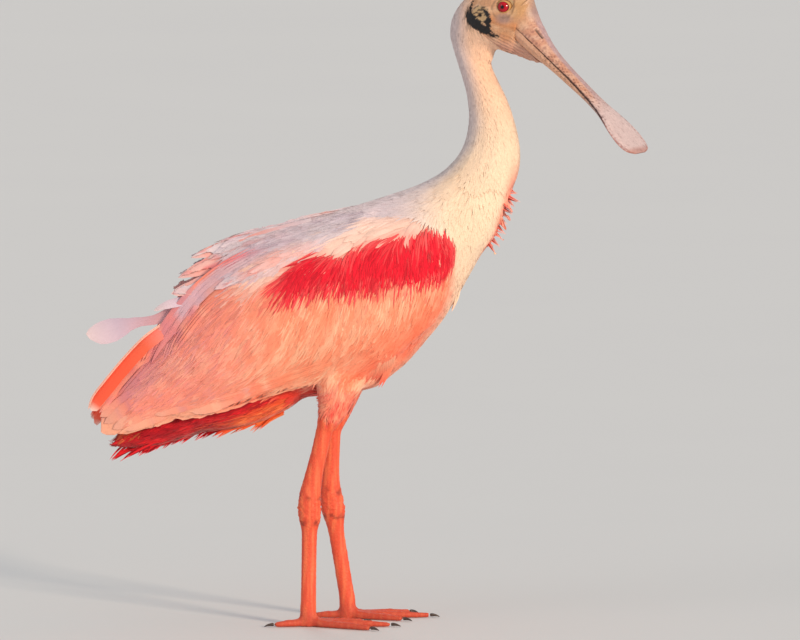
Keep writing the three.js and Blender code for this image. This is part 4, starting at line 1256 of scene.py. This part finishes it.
# Blades along the edges of the folded wing that give it its clean outline: [x, z] points, half width of the bundle
EDGE_BLADES = [
    ([(-76, 358), (-108, 343), (-136, 326), (-158, 307), (-177, 284), (-193, 260), (-204, 240)], 6.5),
    ([(-92, 343), (-118, 328), (-140, 311), (-158, 292), (-174, 270), (-186, 248)], 6.5),
    ([(-146, 303), (-174, 274), (-195, 251), (-216, 228), (-236, 204), (-247, 192)], 6.0),
    ([(-104, 330), (-126, 314), (-147, 296), (-164, 276), (-182, 254)], 6.5),
    ([(-98, 343), (-121, 330), (-142, 315), (-158, 299), (-172, 282)], 5.5),
    ([(-30, 248), (-66, 235), (-98, 222), (-126, 212), (-146, 206)], 5.0),
    ([(-16, 254), (-46, 243), (-76, 232), (-100, 223), (-122, 215)], 5.0),
]


def build_quills(name, side, surface, material):
    coat = Coat(f"flight_feathers_{name}")
    rows, widths = [], []
    for root, middle, tip, half in QUILLS:
        root, middle, tip = line_of(root, middle, tip)
        rows.append([root, (root + middle) / 2, middle, (middle + tip) / 2, tip])
        widths.append(np.array([0.5, 1, 1, 0.9, 0.55]) * half)

    def colour(spine, share):
        return blend(along_spines(wing_colour, spine), rgb(238, 170, 150), ramp(0.7, 1.0, share)[None] * 0.7)
    long_feathers(coat, over_wing(rows, side, surface), widths, colour, 71 + side, (0.05, side, 0.12),
                  thick=0.25,
                  lifts=np.linspace(0.1, 0.6, len(rows)), rise=2.2, end=0.45)
    build_edge_blades(coat, side, surface)
    coat.piece(material)


def build_edge_blades(coat, side, surface):
    rng = random(76)
    rows, widths = [], []
    for row, half in EDGE_BLADES:
        line = np.array(row, float)
        ahead = unit(np.gradient(line, axis=0))
        across = np.stack([-ahead[:, 1], ahead[:, 0]], 1)
        for place in (-0.7, -0.35, 0.0, 0.35, 0.7):
            moved = line + across * half * (place + rng.uniform(-0.1, 0.1))
            moved[0] += ahead[0] * rng.uniform(-12, 12)
            moved[-1] += ahead[-1] * rng.uniform(-7, 0)
            rows.append(moved.tolist())
            widths.append([0.3, 0.38 * half, 0.45 * half, 0.42 * half, 0.2 * half])

    def colour(spine, share):
        light = rng.normal(1, 0.05, (len(spine), 1, 1)) * (1 + 0.06 * share)[None, :, None]
        return np.clip(along_spines(wing_colour, spine) * light, 0, 1)
    long_feathers(coat, over_wing(rows, side, surface), widths, colour, 75 + side, (0.05, side, 0.25),
                  thick=0.22,
                  end=0.4, steps=18, lifts=rng.uniform(0.1, 0.5, len(rows)), rise=1.2, notches=1,
                  section=VANE)


def build_wisps(coat):
    """Pointed bundles of strands that leave the undertail's lower edge ragged."""
    rng = random(272)
    paths, facings = [], []
    for x in (-84, -97, -108, -121, -131, -143, -155, -167, -178, -188, -199, -209, -218):
        out = rng.uniform(-9, 9)
        angle = math.radians(rng.uniform(-150, -134))
        reach = rng.uniform(13, 23)
        foot = np.array([x, MIDDLE + out, height_on(VENT_EDGE, x) + 1.0])
        tip = foot + reach * np.array([math.cos(angle), 0, math.sin(angle)])
        for _ in range(14):
            start = np.array([x + 9, MIDDLE + out, 0]) + rng.normal(0, 1, 3) * [5, 3, 0]
            start[0] = min(start[0], -76)
            start[2] = height_on(VENT_EDGE, start[0]) + rng.uniform(1, 6)
            end = start + (tip - start) * rng.uniform(0.6, 1.0) + rng.normal(0, 0.8, 3)
            paths.append([start, (start + end) / 2 + [0, 0, 0.8], end])
            facings.append((0.1, math.copysign(0.9, out), -0.2))

    def colour(spine, share):
        return np.clip(vent_colour(spine[:, 0])[:, None, :] * (0.9 + 0.35 * share)[None, :, None], 0, 1)
    long_feathers(coat, paths, [[1.0, 0.8, 0.15]] * len(paths), colour, 273, facings, steps=6, thick=0.3,
                  section=SLIVER, notches=0, droop=0)


# Tail in the side view: the line of its middle feathers, and of the outer ones with their depth below the wing's face
TAIL_RIDGE = [(-134, 286), (-156, 279.5), (-177, 270), (-208, 248.6), (-222.5, 234.5), (-238, 214),
              (-248, 198),
              (-254, 190)]
TAIL_SIDE = [(-160, 293, 12), (-174, 284, 6), (-184, 275, 2.4), (-200.5, 263.2, 0.6), (-217.3, 245.6, 0.2),
             (-235.6, 223.4, 0.2), (-247, 208, 0.6), (-253, 198.5, 1.0)]


def build_tail(surface, material):
    coat = Coat("tail_feathers")
    out = wing_depth(surface)
    paths, widths, lifts, facings = [], [], [], []
    for v in sorted(np.linspace(-1, 1, 12), key=lambda v: -abs(v))[2:]:
        drop = 12 * v * v
        path = [(x + drop * 0.4, MIDDLE + 13 * v * (0.55 + 0.45 * i / 7), z - drop * (0.4 + 0.6 * i / 7))
                for i, (x, z) in enumerate(TAIL_RIDGE)]
        path[-1] = (path[-1][0] + 10 * v * v, path[-1][1], path[-1][2] + 8 * v * v)
        paths.append(path)
        widths.append([5.5, 7.0, 7.0])
        lifts.append(-0.4 - 1.5 * abs(v))
        facings.append((-0.3, 1.9 * v, 0.6))
    pale = []
    for side in SIDES.values():
        # The outer feather lies on edge against the wing and shows its whole face, with a pale outer web above
        back, down = (3, 6) if side > 0 else (0, 0)
        for shift, half in ((0, [4.0, 6.8, 6.6, 6.2]), (-5.9, [0.3, 1.1, 1.1, 1.0])):
            path = []
            for x, z, inner in TAIL_SIDE:
                far = min(out(x + 16, z - 12), out(x, z)) if inner > 2 else out(x + 16, z - 12)
                path.append((x + 0.75 * shift + back, MIDDLE + side * max(far - inner, 4),
                             z - 0.66 * shift - down))
            path[-1] = (path[-1][0] - 0.3 * shift, path[-1][1], path[-1][2] + 0.5 * shift)
            paths.append(path)
            widths.append(half)
            lifts.append(0)
            facings.append((-0.15, side, 0.3))
            pale.append(shift < 0)
    plain = along_colour((0, ROSE), (0.34, rgb(238, 128, 116)), (0.46, rgb(246, 104, 74)), (0.6, TAIL_ORANGE),
                         (0.88, TAIL_ORANGE), (0.94, rgb(250, 180, 162)), (1, rgb(252, 224, 214)))

    def colour(spine, share):
        colours = plain(spine, share)
        webs = np.nonzero(pale)[0] - len(pale)
        colours[webs] = blend(colours[webs], rgb(252, 196, 178), 0.9)
        return colours
    long_feathers(coat, paths, widths, colour, 81, facings, lifts=lifts, thick=0.35, end=0.22, droop=0.05)
    coat.piece(material, ["tail"])


# Loose white plume beyond the wing: points along it and half width
PLUME = [(-145.4, -15, 303, 4), (-161.4, -12, 298, 5.5), (-178.4, -8, 289, 7), (-194.4, -3, 282.5, 5),
         (-212.4, 2.8, 279, 5.5), (-229.4, 2.8, 273.5, 11), (-243.4, 1.8, 270, 12), (-253.4, 1.8, 269, 7.5),
         (-257.7, 1.8, 268.6, 2)]
PLUME_HUMP = [(-112, -2, 296), (-140, -6, 301), (-160, -11, 301), (-180, -11, 297.5), (-195, -7, 291)]


def build_plume(material):
    coat = Coat("plume_loose_feather")
    paths = [[(x + 18, y + 3, z) for x, y, z, _ in PLUME[:4]], [row[:3] for row in PLUME], PLUME_HUMP]
    widths = [[4, 5, 5, 3], [row[3] for row in PLUME], [4, 5, 5, 4.5, 3]]
    colour = along_colour((0, rgb(236, 160, 156)), (0.35, rgb(226, 170, 176)), (0.6, rgb(206, 184, 202)),
                          (1, rgb(230, 208, 210)))
    long_feathers(coat, paths, widths, colour, 91, (0.1, -0.8, 0.45), thick=0.4, end=0.5, droop=0.05,
                  lifts=[-0.8, 0, 0.8])
    coat.piece(material, ["plume_loose"])


# Long scapulars whose tips stand clear: points along each (x, distance from the middle plane, z), half widths
SCAPULAR_TIPS = [
    ([(-62, 22, 364), (-88, 20, 354), (-114, 18, 344), (-138, 17, 334), (-156, 16, 327)],
     [4, 6, 6.5, 5.5, 4]),
    ([(-56, 40, 347), (-84, 38, 335), (-112, 35, 323), (-140, 30, 314), (-158, 27, 309)],
     [4, 6, 6.5, 5.5, 4]),
    ([(-60, 10, 371), (-84, 9, 364), (-110, 8, 356), (-138, 8, 347), (-161.4, 8, 339)],
     [5, 6.5, 7, 6.5, 2.6]),
    ([(-62, 18, 365), (-86, 17, 356), (-114, 17, 345), (-148, 16, 332), (-173.4, 15, 321)],
     [5, 7.5, 8.5, 8.5, 3]),
    ([(-60, 33, 354), (-86, 32, 343), (-114, 30, 331), (-150, 27, 317), (-179.4, 24, 307)],
     [5, 7.5, 9, 9, 5.5]),
    ([(-48, 30, 362), (-72, 30, 353), (-96, 30, 341), (-122, 29, 329), (-142, 28, 319)], [4, 5.5, 6, 5, 2.6]),
    ([(-50, 16, 373), (-74, 15, 366), (-98, 14, 358), (-124, 13, 348), (-146, 12, 338)], [4, 5, 6, 4.5, 2.2]),
]


def build_scapular_tips(coat, side):
    back, down = (24, 9) if side > 0 else (0, 0)
    paths = [[(x + back, MIDDLE + side * y, z - down) for x, y, z in row] for row, _ in SCAPULAR_TIPS]
    plain = along_colour((0, BACK_WHITE), (0.3, rgb(232, 192, 194)), (0.55, rgb(242, 168, 160)),
                         (0.85, rgb(240, 176, 168)), (1, rgb(228, 196, 196)))

    def colour(spine, share):
        return with_painted_shade_lines(spine.reshape(-1, 3), plain(spine, share).reshape(-1, 3)).reshape(spine.shape)
    long_feathers(coat, paths, [half for _, half in SCAPULAR_TIPS], colour, 101 + side,
                  (-0.05, side * 0.85, 0.62),
                  thick=0.3, end=0.35, droop=0.1, lifts=np.linspace(-1.2, 0.4, len(paths)))


# Small stiff plumes on the lower neck and breast: root and tip in the side view, and the distance to the side
FRINGE = [((132, 395), (141.6, 389.5), -8), ((129.6, 389), (134.6, 380.5), -14),
          ((125.6, 381), (132.6, 373), -4),
          ((124.6, 373), (127.6, 366), -12), ((118.6, 364), (126.6, 354), -6),
          ((114.6, 352), (119.1, 342), -9),
          ((132, 400), (139, 397), -4), ((127, 385), (134, 379), -10), ((121, 369), (128.5, 360), -9),
          ((130, 392), (137, 384), 1), ((122, 376), (130, 368), 2), ((116, 358), (123, 348), 0)]


def build_fringe(material):
    coat = Coat("breast_fringe")
    rng = random(111)
    shape = {"thick": 0.3, "section": SLIVER, "notches": 0, "droop": 0}
    plumes = []
    for (rx, rz), (tx, tz), y in FRINGE:
        for _ in range(12):
            start = np.array([rx - 3, MIDDLE + y, rz + 1.0]) + rng.normal(0, 1, 3) * [0.6, 2.2, 1.7]
            end = np.array([tx, MIDDLE + y, tz])
            end = start + (end - start) * rng.uniform(0.6, 1.06) + rng.normal(0, 0.4, 3)
            plumes.append([start, (start + end) / 2 + np.array([0.5, 0, -0.3]), end])
    colour = along_colour((0, rgb(236, 96, 78)), (0.4, rgb(238, 128, 118)), (1, rgb(252, 204, 194)))
    long_feathers(coat, plumes, [[0.6, 0.45, 0.1]] * len(plumes), colour, 112, (0.5, -0.6, 0.4), steps=5,
                  **shape)
    tuft = []
    for _ in range(16):
        start = np.array([84.5, MIDDLE - 7, 313]) + rng.normal(0, 1, 3) * [1.2, 2, 2]
        end = np.array([78.5, MIDDLE - 9, 287])
        end = start + (end - start) * rng.uniform(0.7, 1.03) + rng.normal(0, 0.5, 3)
        tuft.append([start, (start + end) / 2 + np.array([1.2, 0, 0]), end])
    colour = along_colour((0, CREAM), (1, rgb(250, 206, 184)))
    long_feathers(coat, tuft, [[0.7, 0.9, 0.2]] * len(tuft), colour, 113, (0.6, -0.8, 0), steps=6, **shape)
    coat.piece(material)


# Flap of belly feathers in front of the thigh: its front and rear edge in the side view
FLAP_FRONT = line_of((26, 264), (25, 250), (21, 237), (13, 222))
FLAP_REAR = line_of((6, 262), (5, 248), (2, 235), (-3, 221))


def build_flap(coat, side, surface):
    rng = random(121)
    rows = []
    for share in np.linspace(0, 1, 16):
        row = FLAP_FRONT * (1 - share) + FLAP_REAR * share + rng.normal(0, 0.5, (4, 2))
        row[0, 1] += rng.uniform(-8, 8)
        row[-1, 1] += rng.uniform(-2, 6)
        rows.append(row.tolist())
    colour = along_colour((0, ORANGE), (0.35, rgb(252, 176, 142)), (0.7, rgb(242, 132, 102)),
                          (1, rgb(228, 92, 78)))
    long_feathers(coat, over_wing(rows, side, surface), [[1.0, 2.0, 2.0, 0.5]] * len(rows), colour,
                  121 + side,
                  (0.2, side, -0.1), thick=0.25, end=0.6, lifts=rng.uniform(0.1, 0.5, len(rows)), rise=0.7,
                  steps=12, notches=0, section=VANE)


# Coat of the body, wings and thighs

def build_coats(surface, regions, soft, vane, silk):
    centres = surface.centres
    x, z = side_view(centres).T
    body = regions == "body"
    upper = body & (z + 10 * ripple(centres, 24, 14) > 405)
    lower = body & ~upper

    neck = Coat("coat_neck")
    grow(neck, surface, upper, body_colour, 1.3, (7, 11), (0.55, 0.9), 0.15, SLIVER, 2, 201, 0.5, tip=0.12,
         sway=0.1, spread=0.03, dark_root=0.97)
    neck.piece(soft)
    breast = Coat("coat_breast")
    grow(breast, surface, lower & (x > 20), body_colour, 1.9, (12, 20), (0.9, 1.5), 0.25, LENS, 3, 202, 1.25,
         tip=0.22, sway=0.08, spread=0.03)
    for side in SIDES.values():
        build_flap(breast, side, surface)
    breast.piece(soft)
    back = Coat("coat_back_and_belly")
    grow(back, surface, lower & (x <= 20), body_colour, 2.2, (14, 24), (1.1, 1.8), 0.25, LENS, 3, 203, 1.25,
         tip=0.25, sway=0.08, spread=0.03)
    back.piece(soft)

    for name, side in SIDES.items():
        here = (centres[:, 1] / MM > MIDDLE) == (side > 0)
        wing = here & (regions == "wing")
        coverts = Coat(f"coverts_{name}")
        grow(coverts, surface, wing, wing_colour, 5.4, (30, 48), (3.2, 5.0), 0.25, VANE, 6, 211 + side, 2.0,
             tip=0.3, sway=0.06, reach=0.04, droop=0.06, fray=0.06, spread=0.035, own=0.6,
             keep=lambda p, rng: p[:, 0] > -0.19)
        coverts.piece(vane, [f"wing_{name}_coverts", f"wing_{name}_quills"])
        strands = Coat(f"covert_strands_{name}")
        grow(strands, surface, wing, wing_colour, 2.7, (20, 38), (0.6, 1.1), 0.2, SLIVER, 4, 221 + side, 0.8,
             sway=0.08, spread=0.07, pale_tip=1.1, own=0.6, reach=0.05,
             keep=lambda p, rng: ~near_patch(p) & (p[:, 0] > -0.2))
        strands.piece(silk)
        patch = Coat(f"shoulder_patch_{name}")
        grow(patch, surface, wing & (patch_share(centres) > 0.02), carmine, 1.3, (10, 32), (0.5, 0.95), 0.22,
             SLIVER, 4, 231 + side, 0.4, tip=0.7, sway=0.08, spread=0.1, dark_root=0.95, pale_tip=1.04,
             own=1.0,
             keep=lambda p, rng: rng.random(len(p)) < 1.15 * patch_share(p))
        patch.piece(silk)
        build_quills(name, side, surface, vane)
        scapular = Coat(f"scapulars_{name}_feathers")
        mask = here & (regions == "scapular")
        grow(scapular, surface, mask, scapular_colour, 5.0, (30, 52), (3.0, 4.6), 0.25, VANE, 6, 241 + side,
             1.4,
             tip=0.3, sway=0.05, droop=0.06, fray=0.08, spread=0.03, own=0.5,
             keep=lambda p, rng: p[:, 0] > -0.104)
        grow(scapular, surface, mask, scapular_colour, 2.8, (16, 30), (0.6, 1.1), 0.2, SLIVER, 4,
             251 + side, 0.7,
             sway=0.07, spread=0.06, own=0.6, keep=lambda p, rng: p[:, 0] > -0.118)
        build_scapular_tips(scapular, side)
        scapular.piece(vane, [f"scapulars_{name}"])
        thigh = Coat(f"coat_thigh_{name}")
        grow(thigh, surface, here & (regions == "thigh"), thigh_colour, 1.5, (16, 27), (0.5, 0.9), 0.22,
             SLIVER, 4,
             261 + side, 1.4, reach=0.5, sway=0.07, spread=0.06, pale_tip=1.06, own=0.6,
             keep=lambda p, rng: p[:, 2] > (THIGH_END + 13) * MM)
        thigh.piece(soft)

    vent = Coat("coat_undertail")
    grow(vent, surface, regions == "vent", vent_colour, 2.2, (24, 44), (0.8, 1.6), 0.3, LENS, 4, 271, 2.3,
         tip=0.7, reach=0.35, keep=lambda p, rng: p[:, 0] > -0.212, spread=0.12, fray=0.1)
    build_wisps(vent)
    vent.piece(silk)


def build_claws(material):
    """Claws with rounded faces in place of the plain solids."""
    for name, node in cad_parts.items():
        if name.startswith("claw_"):
            mesh = with_modifiers(node.data.copy(), ("WELD", {"merge_threshold": 0.02 * MM}),
                                  ("SUBSURF", {"levels": 2, "render_levels": 2}))
            mesh.materials.clear()
            mesh.polygons.foreach_set("use_smooth", np.ones(len(mesh.polygons), bool))
            finish_piece(name.replace("claw", "horn"), mesh, material, [name])


def build_bird():
    finder = node_finder()
    hull = build_hull()
    surface = Surface(hull)
    regions = region_of(surface.centres, finder)
    finish_piece("skin", build_skin(hull, finder, surface), skin_material(), FLESH_NODES)
    horn = bill_material()
    build_bill("upper_bill", UPPER_BILL, True, horn)
    build_bill("lower_bill", LOWER_BILL, False, horn)
    wet = eye_material()
    for name, side in SIDES.items():
        build_eye(name, side, wet)
    soft = feather_material("soft_plush", 40, 0.85, 0.35)
    vane = feather_material("vane", 230, 0.62, 0.25)
    silk = feather_material("silk_strand", 60, 0.6, 0.3)
    build_coats(surface, regions, soft, vane, silk)
    build_tail(surface, vane)
    build_plume(vane)
    build_fringe(soft)
    build_claws(claw_material())


# Stage: pale floor, soft lights and the camera at the photo's angle, in metres

ELEVATION = math.radians(6)
VIEW_CENTRE = Vector((0.0310, 0.0138, 0.2803))
VIEW_WIDTH = 0.736  # width of the frame at the bird
DISTANCE = 14.0
SENSOR = 36  # millimetres


def build_floor():
    bpy.ops.mesh.primitive_circle_add(vertices=96, radius=120, fill_type="NGON")
    floor = bpy.context.object
    floor.name = "studio_floor"
    material, tree, shader = new_material("studio_floor")
    colour = mixed(tree, noise(tree, 3.0, 4), (0.70, 0.70, 0.70), (0.72, 0.72, 0.715))
    fill(tree, shader, {"Base Color": colour, "Roughness": 0.9})
    floor.data.materials.append(material)


def sun(name, towards_light, strength, softness, colour):
    data = bpy.data.lights.new(name, "SUN")
    data.energy = strength
    data.angle = math.radians(softness)
    data.color = colour
    lamp = new_object(name, data)
    lamp.rotation_mode = "QUATERNION"
    lamp.rotation_quaternion = Vector(towards_light).to_track_quat("Z", "Y")


def build_lights():
    world = bpy.data.worlds.new("studio")
    bpy.context.scene.world = world
    world.use_nodes = True
    fill(world.node_tree, world.node_tree.nodes["Background"],
         {"Color": (0.86, 0.93, 1.0, 1), "Strength": 0.5})
    sun("key", (0.60, -0.74, 0.30), 2.9, 12, (1.0, 0.82, 0.63))
    sun("fill", (-0.8, -0.5, 0.4), 0.4, 30, (1.0, 0.9, 0.84))
    sun("rim", (-0.2, 0.9, 0.6), 0.4, 20, (1.0, 0.97, 0.94))


def build_camera():
    data = bpy.data.cameras.new("camera")
    data.sensor_width = SENSOR
    data.lens = SENSOR * DISTANCE / VIEW_WIDTH
    data.clip_end = 500
    camera = new_object("camera", data)
    back = Vector((0, -math.cos(ELEVATION), math.sin(ELEVATION)))
    camera.location = VIEW_CENTRE + back * DISTANCE
    camera.rotation_mode = "QUATERNION"
    camera.rotation_quaternion = (-back).to_track_quat("-Z", "Y")
    bpy.context.scene.camera = camera


build_floor()
build_lights()
build_camera()
build_bird()
bpy.context.scene.view_settings.view_transform = "Standard"
